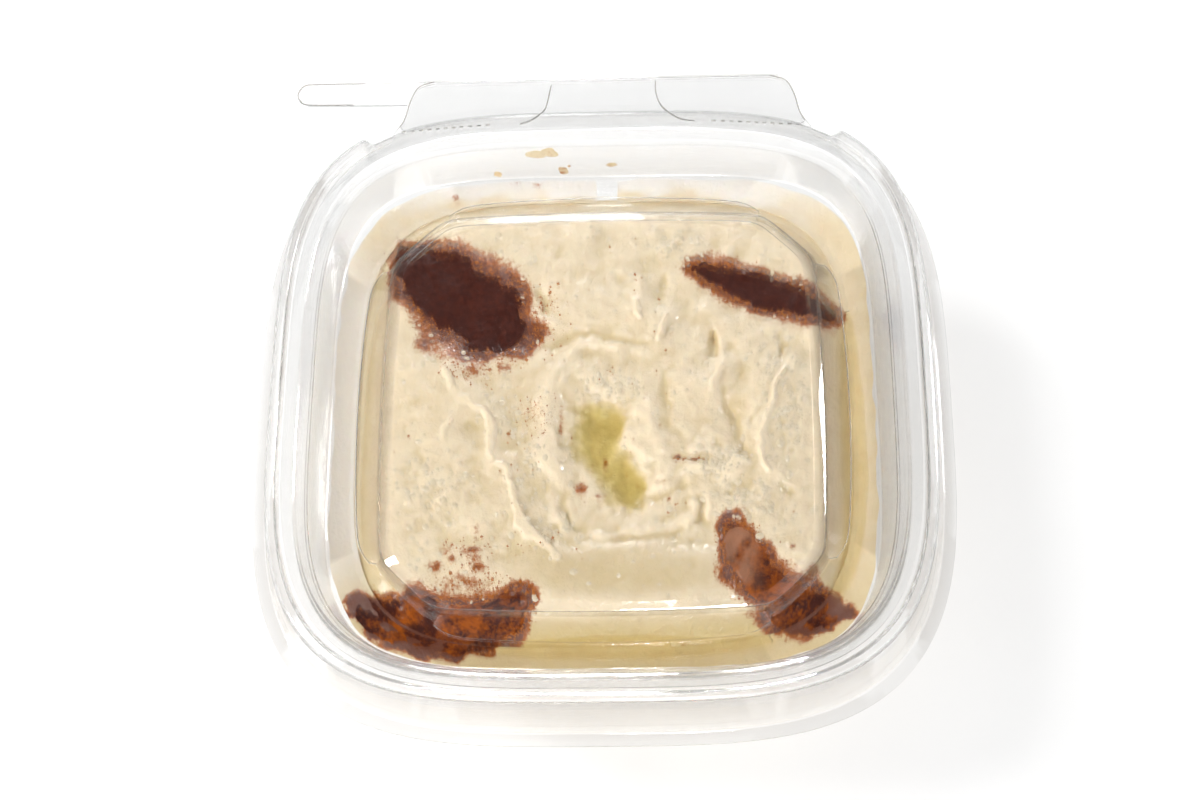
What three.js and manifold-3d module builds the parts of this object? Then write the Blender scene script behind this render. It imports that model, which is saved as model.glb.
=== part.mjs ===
// Hummus in a square clear deli tub, with its hinged lid shut.
// The tub and the lid are thin thermoformed sheets, joined at the back by a folded hinge
// strip with a tear tab. The tub holds hummus with a spooned swirl, a pool of olive oil in
// the well of the swirl, oil that has run to the front and right margins, and four patches
// of paprika near the corners. Millimetres, +Z up, origin under the middle of the tub.

import * as THREE from 'three';
import { mergeVertices } from 'three/addons/utils/BufferGeometryUtils.js';
import Module from 'manifold-3d';

const wasm = await Module();
wasm.setup();

// ---------------------------------------------------------------- driving dimensions

const TUB_HEIGHT = 44;            // table to the top of the rim's bead
const SHEET = 0.5;                // thickness of the clear sheet
const CLEARANCE = 0.35;           // gap kept between neighbouring pieces
const NESTING = SHEET + CLEARANCE; // from the lid's mid-surface to the tub's

const BEAD_LEVEL = -SHEET / 2;    // levels are measured from the top of the bead, up is +
const FLANGE_LEVEL = -1.05;       // the lid's flange, mid-surface
const LEDGE_LEVEL = FLANGE_LEVEL - NESTING;
const PANEL_LEVEL = -7.95;        // the lid's sunken centre panel
const MOAT_LEVEL = -11.7;         // the trough round that panel
const LIP_LEVEL = -12.4;          // the rim's outer edge
const FLOOR_LEVEL = SHEET / 2 - TUB_HEIGHT;

const NOTCH_X = 46.9;             // half the gap in the bead, where the hinge passes
const NOTCH_Y = 55.6;
const LEDGE_MIDDLE_HALF = 58.5;   // half width at the middle of the ledge inside the bead
const BEAD_FOOT_HALF = 60.5;      // half width at the bead's inner foot
const HINGE_INSET = 0.7;          // share of the bead's width that is lost behind the hinge
const FOLD_Y = 69.0;              // the fold line of the hinge strip

const HUMMUS_HALF = 47.6;         // half the hummus's width at its margin
const HUMMUS_FORM = { power: 4.3 };
const HUMMUS_MARGIN = -14.4;      // level where it meets the tub
const HUMMUS_TOP = -10.3;         // level of the spread surface
const HUMMUS_SLOPE = 7;           // width of the fall from that surface to the margin
const HUMMUS_FOOT_HALF = 41.4;    // half its width on the floor
const OIL_POOL_LEVEL = -10.75;
const OIL_MARGIN_LEVEL = -12.8;
const OIL_LANES = [45.6, 46.8, 47.6, 48.8, 50.2]; // half widths of the ovals along a band of oil
const OIL_FRONT_SPAN = [-1.83, -1.02];            // directions where each band starts and ends
const OIL_RIGHT_SPAN = [-0.62, 0.38];

const STEPS_AROUND = 44;          // facets round an outline
const HUMMUS_CELLS = 40;          // squares across the hummus

// Each corner of a section: half the width, the level, the outline's form and the bend's radius.
// A form with a power is a squared oval, |x|^p + |y|^p = half^p. A form with a flat is a square
// whose sides are straight as far as `flat`, swell outwards by `bulge` and end in chamfers.
const SHOULDER_TOP = { half: 53.3, level: MOAT_LEVEL - NESTING, form: { power: 4.58 }, bend: 0.8 };
const SHOULDER_FOOT = { half: 48.6, level: -14.5, form: { power: 4.0 }, bend: 1.2 };
const PANEL_FOOT = { half: 42.6, level: MOAT_LEVEL, form: { flat: 32.9, bulge: 5.0 }, bend: 0.5 };
const TUB_SECTION = [
  { half: 66.9, level: LIP_LEVEL, form: { power: 3.5 } },
  { half: 64.3, level: -12.2, form: { power: 3.55 }, bend: 0.8 },
  { half: 62.4, level: BEAD_LEVEL, form: { power: 3.69 }, bend: 0.7 },
  { half: 60.9, level: BEAD_LEVEL, form: { power: 3.72 }, bend: 0.6 },
  { half: 60.35, level: LEDGE_LEVEL, form: { power: 3.72 }, bend: 0.4 },
  { half: 57.8, level: LEDGE_LEVEL, form: { power: 3.9 }, bend: 0.9 },
  { half: 56.05, level: -4.7, form: { power: 4.1 }, bend: 1.2 },
  SHOULDER_TOP,
  SHOULDER_FOOT,
  { half: 41.8, level: FLOOR_LEVEL, form: { power: 4.3 }, bend: 2.6 },
  { half: 0, level: FLOOR_LEVEL, form: { power: 4.3 } },
];
const LID_SECTION = [
  { half: 59.7, level: FLANGE_LEVEL, form: { power: 3.7 } },
  { half: 57.3, level: FLANGE_LEVEL, form: { power: 3.9 }, bend: 0.9 },
  { half: 55.3, level: -4.3, form: { power: 4.1 }, bend: 1.2 },
  { half: 52.7, level: MOAT_LEVEL, form: { power: 4.58 }, bend: 0.8 },
  PANEL_FOOT,
  { half: 40.9, level: -8.4, form: { flat: 31.3, bulge: 2.1 } },
  { half: 40.0, level: PANEL_LEVEL, form: { flat: 30.5, bulge: 0 } },
  { half: 0, level: PANEL_LEVEL, form: { flat: 30.5, bulge: 0 } },
];

// The hinge strip's right-hand edge, from its root to the fold. The left one mirrors it.
const STRIP_ROOT_X = 42.4;
const STRIP_EDGE = [[41.6, 56.8], [39.7, 60], [38.6, 64.6], [37, 67.8], [34, FOLD_Y]];
const TAB_TIP_X = -61.5;
const TAB_LOW_Y = 63.6;
const TAB_ROUND = 2.6;

// The hummus's relief: ridges and furrows left by the spoon, each a line through a few points
// on the surface, how far it stands up (or, below 0, is sunk) and how wide it is.
const RELIEF = {
  swirlRim: { rise: 1.0, width: 2.2,
    line: [[-9, -14], [-11.5, -5], [-11, 4], [-6, 12], [1, 13.5], [8, 10.5], [9.5, 3], [8, -6]] },
  lowerRim: { rise: 1.0, width: 1.9,
    line: [[-10, -19], [-7, -26], [0, -28], [9, -27.5], [16, -25], [19, -20]] },
  foldedMound: { rise: 1.1, width: 3.2, line: [[14, 17], [15.5, 9], [17, 1], [21, -8]] },
  spoonRidge: { rise: 1.0, width: 1.8, line: [[10, -17.5], [15, -13.5], [21, -12], [27, -13.5]] },
  leftRidge: { rise: 1.2, width: 1.7,
    line: [[-30, 8], [-26, 1], [-21.5, -3], [-20, -12], [-16, -22], [-8, -31]] },
  backLobe: { rise: 0.9, width: 3.4, line: [[-12, 20], [-5, 18.5], [2, 20.5], [8, 17.5]] },
  backFurrow: { rise: -1.2, width: 1.6,
    line: [[-15, 14], [-9, 13.6], [-2, 16], [5, 14.8], [11, 14.5], [17, 21.5]] },
  rightFurrow: { rise: -1.5, width: 1.7,
    line: [[22, 19], [22.5, 8], [26, -4], [29, -13], [38, -20.5]] },
  farRightCrack: { rise: -1.2, width: 1.5, line: [[35, 15], [33, 5], [30, -4], [30, -13]] },
};
const WELL = { x: 0, y: -6.5, across: 6.2, along: 11.5, depth: 2.6 };
const PRESSED_FRONT = { x: 2, y: -34.5, across: 26, along: 6, rise: 1.9 };

// Paprika patches: a line down the middle of each, and its half width at every point of it.
const PAPRIKA = {
  paprika_back_left: {
    line: [[-39, 35], [-34, 29.5], [-28, 23.5], [-21, 17.5], [-16, 14]],
    half: [2.5, 6.4, 7.8, 8, 3.5],
  },
  paprika_back_right: {
    line: [[17.5, 30], [22.5, 29], [28, 26], [34, 23.5], [40, 21.5], [44.5, 20.5]],
    half: [1, 3.4, 4, 4, 3.9, 1.6],
  },
  paprika_front_left: {
    line: [[-45.5, -38.5], [-40, -42], [-33, -44.5], [-25, -45], [-18.5, -42.5], [-14, -39]],
    half: [2.2, 4.6, 4.8, 4.4, 4.2, 1.6],
  },
  paprika_front_right: {
    line: [[25, -26.5], [26.5, -31.5], [29.5, -36], [34, -39.5], [39, -40.8], [43, -40.5]],
    half: [2, 4.4, 5, 4.6, 4.4, 2],
  },
};
const PAPRIKA_EDGE = 0.25;        // thickness at a patch's rim
const PAPRIKA_MIDDLE = 1.1;       // and at its middle
const PAPRIKA_HOLLOW = 1.1;       // how deep it has sunk into the hummus
const PAPRIKA_REACH = 50.2;       // half width of the oval that no patch spreads past

// ---------------------------------------------------------------- outlines and sections

// Distance from the axis to an outline of this form, in the direction `angle`.
function reach(half, form, angle) {
  const across = Math.abs(Math.cos(angle));
  const along = Math.abs(Math.sin(angle));
  if (form.power) {
    return half / (across ** form.power + along ** form.power) ** (1 / form.power);
  }
  const steep = Math.max(across, along);
  const place = half * Math.min(across, along) / steep;
  const swell = form.bulge * Math.max(0, 1 - (place / form.flat) ** 2);
  const side = (half + swell) / steep;
  const chamfer = (half + form.flat) / (across + along);
  const sharpness = 60;
  return (side ** -sharpness + chamfer ** -sharpness) ** (-1 / sharpness);
}

// Directions round the part: closer together at the corners, with the bead's two ends added.
function directions() {
  const angles = [];
  for (let step = 0; step < STEPS_AROUND; step += 1) {
    const turn = 2 * Math.PI * step / STEPS_AROUND;
    angles.push(turn + 0.1 * Math.sin(4 * turn));
  }
  const notch = Math.atan2(NOTCH_Y, NOTCH_X);
  const ramp = 0.008;
  angles.push(notch - ramp, notch + ramp, Math.PI - notch - ramp, Math.PI - notch + ramp);
  return angles.sort((first, second) => first - second);
}

const AROUND = directions();

function behindHinge(angle) {
  const notch = Math.atan2(NOTCH_Y, NOTCH_X);
  return angle > notch && angle < Math.PI - notch;
}

// Turns each corner of a section that has a bend into a short curve of two or three stations.
function bendCorners(corners) {
  const stations = [corners[0]];
  for (let i = 1; i < corners.length - 1; i += 1) {
    const { half, level, form, bend } = corners[i];
    if (!bend) {
      stations.push(corners[i]);
      continue;
    }
    const corner = new THREE.Vector2(half, level);
    const back = new THREE.Vector2(corners[i - 1].half, corners[i - 1].level).sub(corner).normalize();
    const ahead = new THREE.Vector2(corners[i + 1].half, corners[i + 1].level).sub(corner).normalize();
    const run = bend / Math.tan(back.angleTo(ahead) / 2);
    const start = corner.clone().addScaledVector(back, run);
    const end = corner.clone().addScaledVector(ahead, run);
    const curve = new THREE.QuadraticBezierCurve(start, corner, end);
    const chords = bend > 1 ? 2 : 1;
    for (const point of curve.getPoints(chords)) {
      stations.push({ half: point.x, level: point.y, form });
    }
  }
  stations.push(corners[corners.length - 1]);
  return stations;
}

// One face of the sheet: its stations moved by half the sheet's thickness, up or down.
function sheetFace(stations, side) {
  const legs = [];
  for (let i = 0; i < stations.length - 1; i += 1) {
    const run = stations[i].half - stations[i + 1].half;
    const rise = stations[i + 1].level - stations[i].level;
    legs.push(new THREE.Vector2(rise, run).normalize());
  }
  return stations.map((station, i) => {
    const before = legs[Math.max(i - 1, 0)];
    const after = legs[Math.min(i, legs.length - 1)];
    const normal = before.clone().add(after).normalize();
    const shift = side * SHEET / 2 / normal.dot(after);
    const half = station.half > 0 ? station.half + normal.x * shift : 0;
    return { half, level: station.level + normal.y * shift, form: station.form, side };
  });
}

// ---------------------------------------------------------------- bodies

// A closed body from points and triangles, turned so that its faces point outwards.
function closedBody(points, triangles) {
  let volume = 0;
  for (const [a, b, c] of triangles) {
    volume += points[a].clone().cross(points[b]).dot(points[c]);
  }
  const ordered = volume > 0 ? triangles : triangles.map(([a, b, c]) => [a, c, b]);
  const geometry = new THREE.BufferGeometry();
  geometry.setFromPoints(points);
  geometry.setIndex(ordered.flat());
  return geometry;
}

// A body through a row of closed rings. Its first and last rings are single points.
function loft(rings) {
  const points = rings.flat();
  const triangles = [];
  let first = 0;
  for (let i = 0; i < rings.length - 1; i += 1) {
    const count = Math.max(rings[i].length, rings[i + 1].length);
    const next = first + rings[i].length;
    for (let j = 0; j < count; j += 1) {
      const k = (j + 1) % count;
      const here = rings[i].length > 1 ? [first + j, first + k] : [first, first];
      const there = rings[i + 1].length > 1 ? [next + j, next + k] : [next, next];
      if (here[0] !== here[1]) {
        triangles.push([here[0], here[1], there[1]]);
      }
      if (there[0] !== there[1]) {
        triangles.push([here[0], there[1], there[0]]);
      }
    }
    first = next;
  }
  return closedBody(points, triangles);
}

// A slab between two nets of points with the same rows and columns, closed by walls all round.
function slab(bed, top) {
  const rows = bed.length;
  const columns = bed[0].length;
  const points = [...bed.flat(), ...top.flat()];
  const upper = rows * columns;
  const triangles = [];
  for (let i = 0; i < rows - 1; i += 1) {
    for (let j = 0; j < columns - 1; j += 1) {
      const corner = i * columns + j;
      const quad = [corner, corner + 1, corner + columns + 1, corner + columns];
      triangles.push([quad[0], quad[2], quad[1]], [quad[0], quad[3], quad[2]]);
      const [a, b, c, d] = quad.map((index) => index + upper);
      triangles.push([a, b, c], [a, c, d]);
    }
  }
  const wall = (from, to) => triangles.push([from, to, to + upper], [from, to + upper, from + upper]);
  const last = (rows - 1) * columns;
  for (let j = 0; j < columns - 1; j += 1) {
    wall(j, j + 1);
    wall(last + j + 1, last + j);
  }
  for (let i = 0; i < rows - 1; i += 1) {
    wall((i + 1) * columns, i * columns);
    wall(i * columns + columns - 1, (i + 1) * columns + columns - 1);
  }
  return closedBody(points, triangles);
}

// A thin sheet formed to a section: down its underside from the middle, and back over its top.
function thinShell(corners, place) {
  const stations = bendCorners(corners);
  const underside = sheetFace(stations, -1).reverse();
  const top = sheetFace(stations, 1);
  const rings = [...underside, ...top].map((station) => {
    if (station.half === 0) {
      return [new THREE.Vector3(0, 0, TUB_HEIGHT + station.level)];
    }
    return AROUND.map((angle) => {
      const { half, level } = place(station, angle);
      const radius = reach(half, station.form, angle);
      return new THREE.Vector3(radius * Math.cos(angle), radius * Math.sin(angle), TUB_HEIGHT + level);
    });
  });
  return loft(rings);
}

// Behind the hinge the bead is left out: the sheet runs level with the ledge to the rim's edge.
function tubPlace(station, angle) {
  if (!behindHinge(angle) || station.half < LEDGE_MIDDLE_HALF) {
    return station;
  }
  const level = Math.min(station.level, LEDGE_LEVEL + station.side * SHEET / 2);
  const beyond = Math.max(0, station.half - BEAD_FOOT_HALF);
  const inset = HINGE_INSET * Math.max(0, 1 - station.level / LIP_LEVEL);
  return { half: station.half - beyond * inset, level };
}

function toManifold(geometry) {
  const bare = geometry.clone();
  bare.deleteAttribute('normal');
  bare.deleteAttribute('uv');
  const merged = mergeVertices(bare, 1e-5);
  return new wasm.Manifold(new wasm.Mesh({
    numProp: 3,
    vertProperties: new Float32Array(merged.attributes.position.array),
    triVerts: new Uint32Array(merged.index.array),
  }));
}

function fused(first, second) {
  const mesh = toManifold(first).add(toManifold(second)).getMesh();
  const geometry = new THREE.BufferGeometry();
  geometry.setAttribute('position', new THREE.Float32BufferAttribute(mesh.vertProperties, 3));
  geometry.setIndex(Array.from(mesh.triVerts));
  return geometry;
}

// ---------------------------------------------------------------- hinge strip

// One leaf of the folded strip: from inside the rim, at the oval of this half width, to the fold.
function hingeLeaf(rootHalf, level, withTab) {
  const rootPower = 3.7;
  const rootY = (x) => (rootHalf ** rootPower - Math.abs(x) ** rootPower) ** (1 / rootPower);
  const root = [STRIP_ROOT_X, rootY(STRIP_ROOT_X)];
  const edge = [root, ...STRIP_EDGE].map(([x, y]) => new THREE.Vector2(x, y));
  const mirrored = edge.map((point) => new THREE.Vector2(-point.x, point.y)).reverse();
  const outline = new THREE.Shape();
  outline.moveTo(edge[0].x, edge[0].y);
  outline.splineThru(edge.slice(1));
  if (withTab) {
    outline.lineTo(TAB_TIP_X + TAB_ROUND, FOLD_Y);
    outline.quadraticCurveTo(TAB_TIP_X, FOLD_Y, TAB_TIP_X, FOLD_Y - TAB_ROUND);
    outline.quadraticCurveTo(TAB_TIP_X, TAB_LOW_Y + 0.6, TAB_TIP_X + TAB_ROUND, TAB_LOW_Y + 0.4);
    outline.lineTo(-38.9, TAB_LOW_Y);
    outline.splineThru(mirrored.slice(3));
  } else {
    outline.lineTo(mirrored[0].x, mirrored[0].y);
    outline.splineThru(mirrored.slice(1));
  }
  const rootSteps = 12;
  for (let step = 1; step < rootSteps; step += 1) {
    const x = THREE.MathUtils.lerp(-STRIP_ROOT_X, STRIP_ROOT_X, step / rootSteps);
    outline.lineTo(x, rootY(x));
  }
  const leaf = new THREE.ExtrudeGeometry(outline, { depth: SHEET, bevelEnabled: false, curveSegments: 3 });
  leaf.translate(0, 0, TUB_HEIGHT + level - SHEET / 2);
  return leaf;
}

// ---------------------------------------------------------------- surface of the hummus

const RELIEF_LINES = Object.values(RELIEF).map(({ line }) => {
  const curve = new THREE.CatmullRomCurve3(line.map(([x, y]) => new THREE.Vector3(x, y, 0)));
  return curve.getPoints(30);
});

function smooth(value) {
  return THREE.MathUtils.smoothstep(value, 0, 1);
}

function distanceTo(points, x, y) {
  return Math.min(...points.map((point) => Math.hypot(point.x - x, point.y - y)));
}

// Highest level that a food surface may have under the lid: low in the moat, higher in the panel.
function ceiling(x, y) {
  const moat = reach(PANEL_FOOT.half, PANEL_FOOT.form, Math.atan2(y, x));
  const inwards = smooth((0.99 - Math.hypot(x, y) / moat) / 0.1);
  return THREE.MathUtils.lerp(MOAT_LEVEL, PANEL_LEVEL, inwards) - SHEET / 2 - 2 * CLEARANCE;
}

function bowl(shape, x, y) {
  const out = Math.hypot((x - shape.x) / shape.across, (y - shape.y) / shape.along);
  return smooth(1.25 - out);
}

// How deep the hummus is sunk under a paprika patch.
function patchHollow(x, y) {
  let deepest = 0;
  for (const { line, half } of Object.values(PAPRIKA)) {
    for (let i = 0; i < line.length - 1; i += 1) {
      for (const part of [0, 0.25, 0.5, 0.75, 1]) {
        const middleX = THREE.MathUtils.lerp(line[i][0], line[i + 1][0], part);
        const middleY = THREE.MathUtils.lerp(line[i][1], line[i + 1][1], part);
        const width = THREE.MathUtils.lerp(half[i], half[i + 1], part);
        const out = Math.hypot(x - middleX, y - middleY) / (width + 2.5);
        deepest = Math.max(deepest, smooth(2.2 * (1 - out)));
      }
    }
  }
  return deepest * PAPRIKA_HOLLOW;
}

// Half width of the oval of the hummus's form that passes through a point.
function foodHalf(x, y) {
  return HUMMUS_HALF * Math.hypot(x, y) / reach(HUMMUS_HALF, HUMMUS_FORM, Math.atan2(y, x));
}

// Level of the hummus: spread flat, falling to the margin, with the swirl's relief on it.
function hummusLevel(x, y) {
  const inwards = HUMMUS_HALF - foodHalf(x, y);
  let level = HUMMUS_TOP;
  Object.values(RELIEF).forEach(({ rise, width }, i) => {
    const out = distanceTo(RELIEF_LINES[i], x, y) / width;
    level += rise * Math.exp(-out * out);
  });
  level += PRESSED_FRONT.rise * bowl(PRESSED_FRONT, x, y);
  level -= WELL.depth * bowl(WELL, x, y);
  level = Math.min(level, ceiling(x, y)) - patchHollow(x, y);
  return THREE.MathUtils.lerp(HUMMUS_MARGIN, level, smooth(inwards / HUMMUS_SLOPE));
}

// Level of the tub's sloping shoulder, upper face, at this half width.
function shoulderLevel(half) {
  const part = (half - SHOULDER_FOOT.half) / (SHOULDER_TOP.half - SHOULDER_FOOT.half);
  return THREE.MathUtils.lerp(SHOULDER_FOOT.level, SHOULDER_TOP.level, part) + SHEET / 2;
}

// What oil or paprika lies on: the hummus, or the shoulder outside it.
function bedLevel(x, y) {
  const half = foodHalf(x, y);
  if (half > HUMMUS_HALF) {
    return Math.max(shoulderLevel(half), HUMMUS_MARGIN);
  }
  return hummusLevel(x, y);
}

// The underside of something that lies there: clear of the highest bed close by.
function lyingLevel(x, y) {
  const near = 1.1;
  const around = [[0, 0], [near, 0], [-near, 0], [0, near], [0, -near]];
  return Math.max(...around.map(([dx, dy]) => bedLevel(x + dx, y + dy))) + CLEARANCE;
}

function foodPoint(x, y, level) {
  return new THREE.Vector3(x, y, TUB_HEIGHT + level);
}

// ---------------------------------------------------------------- food

// The hummus: a square net drawn out to the margin's outline, with a skirt down to the floor.
function hummusBody() {
  const points = [];
  const triangles = [];
  const row = HUMMUS_CELLS + 1;
  const margin = (x, y) => reach(HUMMUS_HALF, HUMMUS_FORM, Math.atan2(y, x));
  for (let i = 0; i < row; i += 1) {
    for (let j = 0; j < row; j += 1) {
      const u = 2 * j / HUMMUS_CELLS - 1;
      const v = 2 * i / HUMMUS_CELLS - 1;
      const ring = Math.max(Math.abs(u), Math.abs(v));
      const scale = ring > 0 ? ring * margin(u, v) / Math.hypot(u, v) : 0;
      points.push(foodPoint(u * scale, v * scale, hummusLevel(u * scale, v * scale)));
    }
  }
  for (let i = 0; i < HUMMUS_CELLS; i += 1) {
    for (let j = 0; j < HUMMUS_CELLS; j += 1) {
      const corner = i * row + j;
      triangles.push([corner, corner + 1, corner + row + 1], [corner, corner + row + 1, corner + row]);
    }
  }
  const rim = [];
  for (let step = 0; step < HUMMUS_CELLS; step += 1) {
    rim.push(step);
  }
  for (let step = 0; step < HUMMUS_CELLS; step += 1) {
    rim.push(step * row + HUMMUS_CELLS);
  }
  for (let step = HUMMUS_CELLS; step > 0; step -= 1) {
    rim.push(HUMMUS_CELLS * row + step);
  }
  for (let step = HUMMUS_CELLS; step > 0; step -= 1) {
    rim.push(step * row);
  }
  const floor = FLOOR_LEVEL + NESTING - SHEET / 2;
  const bands = [
    { half: HUMMUS_FOOT_HALF + 0.35, level: floor + 2.2 },
    { half: HUMMUS_FOOT_HALF - 1.9, level: floor },
  ];
  let upper = rim;
  for (const { half, level } of bands) {
    const lower = rim.map((index) => {
      const angle = Math.atan2(points[index].y, points[index].x);
      const radius = reach(half, HUMMUS_FORM, angle);
      return points.push(foodPoint(radius * Math.cos(angle), radius * Math.sin(angle), level)) - 1;
    });
    rim.forEach((unused, j) => {
      const k = (j + 1) % rim.length;
      triangles.push([upper[j], lower[j], lower[k]], [upper[j], lower[k], upper[k]]);
    });
    upper = lower;
  }
  const middle = points.push(foodPoint(0, 0, floor)) - 1;
  rim.forEach((unused, j) => triangles.push([upper[(j + 1) % rim.length], upper[j], middle]));
  return closedBody(points, triangles);
}

// Olive oil in the well, level on top, out to where it would thin away on the hummus.
function oilPoolBody() {
  const shore = [];
  const spokes = 28;
  for (let spoke = 0; spoke < spokes; spoke += 1) {
    const angle = 2 * Math.PI * spoke / spokes;
    let out = 1;
    const depthAt = (distance) => {
      const x = WELL.x + distance * Math.cos(angle);
      const y = WELL.y + distance * Math.sin(angle);
      return OIL_POOL_LEVEL - hummusLevel(x, y) - CLEARANCE;
    };
    while (out < 1.4 * WELL.along && depthAt(out + 0.5) > 0.25) {
      out += 0.25;
    }
    shore.push({ angle, out });
  }
  const ring = (part, onTop) => shore.map(({ angle, out }) => {
    const x = WELL.x + part * out * Math.cos(angle);
    const y = WELL.y + part * out * Math.sin(angle);
    return foodPoint(x, y, onTop ? OIL_POOL_LEVEL : hummusLevel(x, y) + CLEARANCE);
  });
  const bottom = [0.34, 0.67, 1].map((part) => ring(part, false));
  const pole = foodPoint(WELL.x, WELL.y, hummusLevel(WELL.x, WELL.y) + CLEARANCE);
  return loft([[pole], ...bottom, ring(1, true), [foodPoint(WELL.x, WELL.y, OIL_POOL_LEVEL)]]);
}

// A band of oil lying between the hummus and the shoulder, from one direction to another.
function oilMarginBody([from, to]) {
  const steps = 12;
  const bed = [];
  const top = [];
  for (let step = 0; step <= steps; step += 1) {
    const angle = THREE.MathUtils.lerp(from, to, step / steps);
    const taper = 0.3 + 0.7 * Math.sin(Math.PI * step / steps);
    const places = OIL_LANES.map((lane) => {
      const half = THREE.MathUtils.lerp(OIL_LANES[2], lane, taper);
      const radius = reach(half, HUMMUS_FORM, angle);
      return new THREE.Vector2(radius * Math.cos(angle), radius * Math.sin(angle));
    });
    bed.push(places.map(({ x, y }) => foodPoint(x, y, Math.min(lyingLevel(x, y), OIL_MARGIN_LEVEL - 0.15))));
    top.push(places.map(({ x, y }) => foodPoint(x, y, OIL_MARGIN_LEVEL)));
  }
  return slab(bed, top);
}

// How far a patch spreads from its spine to one side, short of where the lid comes down.
function spread(middle, across, wanted) {
  const parts = 20;
  for (let part = parts; part > 1; part -= 1) {
    const width = wanted * part / parts;
    if (foodHalf(middle.x + across.x * width, middle.y + across.y * width) < PAPRIKA_REACH) {
      return width;
    }
  }
  return wanted / parts;
}

// A patch of oil-soaked paprika: a thin lens with an uneven edge, lying in its hollow.
function paprikaBody({ line, half }) {
  const spine = new THREE.CatmullRomCurve3(line.map(([x, y], i) => new THREE.Vector3(x, y, half[i])));
  const steps = 11;
  const lanes = 5;
  const bed = [];
  const top = [];
  for (let step = 0; step <= steps; step += 1) {
    const middle = spine.getPoint(step / steps);
    const ahead = spine.getTangent(step / steps);
    const across = new THREE.Vector2(-ahead.y, ahead.x).normalize();
    const ragged = 1 + 0.12 * Math.sin(2.9 * step) + 0.08 * Math.sin(5.1 * step + line[0][0]);
    const low = spread(middle, across, -middle.z * ragged);
    const high = spread(middle, across, middle.z * ragged);
    const bedRow = [];
    const topRow = [];
    for (let lane = 0; lane <= lanes; lane += 1) {
      const out = 2 * lane / lanes - 1;
      const place = THREE.MathUtils.lerp(low, high, lane / lanes);
      const x = middle.x + across.x * place;
      const y = middle.y + across.y * place;
      const body = Math.sqrt(Math.max(0, 1 - out * out)) * Math.sin(Math.PI * (step + 0.6) / (steps + 1.2));
      const thickness = THREE.MathUtils.lerp(PAPRIKA_EDGE, PAPRIKA_MIDDLE, body);
      const under = lyingLevel(x, y);
      const level = Math.min(under + thickness, ceiling(x, y) + CLEARANCE);
      bedRow.push(foodPoint(x, y, under));
      topRow.push(foodPoint(x, y, Math.max(level, under + PAPRIKA_EDGE)));
    }
    bed.push(bedRow);
    top.push(topRow);
  }
  return slab(bed, top);
}

// ---------------------------------------------------------------- the assembled tub

const clearSheet = { color: 0xe9eef0, roughness: 0.06, metalness: 0, transparent: true, opacity: 0.3 };
const oliveOil = { color: 0xa89a3a, roughness: 0.05, metalness: 0, transparent: true, opacity: 0.75 };

function piece(name, geometry, finish) {
  const mesh = new THREE.Mesh(geometry, new THREE.MeshStandardMaterial(finish));
  mesh.name = name;
  return mesh;
}

const tub = new THREE.Group();
tub.add(piece(
  'tub',
  fused(thinShell(TUB_SECTION, tubPlace), hingeLeaf(60.7, LEDGE_LEVEL, false)),
  clearSheet,
));
tub.add(piece('hummus', hummusBody(), { color: 0xd9c39c, roughness: 0.6, metalness: 0 }));
tub.add(piece('oil_pool', oilPoolBody(), oliveOil));
tub.add(piece('oil_front', oilMarginBody(OIL_FRONT_SPAN), oliveOil));
tub.add(piece('oil_right', oilMarginBody(OIL_RIGHT_SPAN), oliveOil));
for (const [name, patch] of Object.entries(PAPRIKA)) {
  tub.add(piece(name, paprikaBody(patch), { color: 0x4a1c0c, roughness: 0.75, metalness: 0 }));
}

const lid = new THREE.Group();
lid.add(piece(
  'lid',
  fused(thinShell(LID_SECTION, (station) => station), hingeLeaf(58.4, FLANGE_LEVEL, true)),
  clearSheet,
));

const hummusTub = new THREE.Group();
hummusTub.add(tub, lid);

export default hummusTub;
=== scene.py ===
# Hummus in a square clear deli tub, with its hinged lid shut.
# Lengths in this file are millimetres until a mesh is made. A level is measured from the top
# of the rim's bead, up is positive, and the table is TUB_HEIGHT below it.

import bmesh
import bpy
import numpy as np
from mathutils import Matrix, Vector
from mathutils.geometry import delaunay_2d_cdt


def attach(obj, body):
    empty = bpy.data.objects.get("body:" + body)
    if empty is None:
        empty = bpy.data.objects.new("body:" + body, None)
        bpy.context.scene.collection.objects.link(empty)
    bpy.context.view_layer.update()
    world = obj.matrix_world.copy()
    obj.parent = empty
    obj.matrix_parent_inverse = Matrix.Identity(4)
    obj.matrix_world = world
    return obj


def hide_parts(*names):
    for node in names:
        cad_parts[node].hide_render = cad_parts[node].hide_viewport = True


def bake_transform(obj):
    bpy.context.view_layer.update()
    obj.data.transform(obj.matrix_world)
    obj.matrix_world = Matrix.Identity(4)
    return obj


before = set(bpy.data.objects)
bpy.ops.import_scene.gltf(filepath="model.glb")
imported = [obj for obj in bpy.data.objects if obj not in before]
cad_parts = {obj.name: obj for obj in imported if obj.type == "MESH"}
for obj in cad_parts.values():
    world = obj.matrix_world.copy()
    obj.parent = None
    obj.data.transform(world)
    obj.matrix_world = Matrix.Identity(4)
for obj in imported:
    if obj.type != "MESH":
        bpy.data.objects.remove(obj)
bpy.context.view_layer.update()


# ------------------------------------------------------------------ tub
# One thin sheet of clear PET, formed hot over a mould: floor, drafted wall, sloping shoulder,
# ledge, rounded bead and outer lip. Behind the hinge strip the bead is left out.

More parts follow.
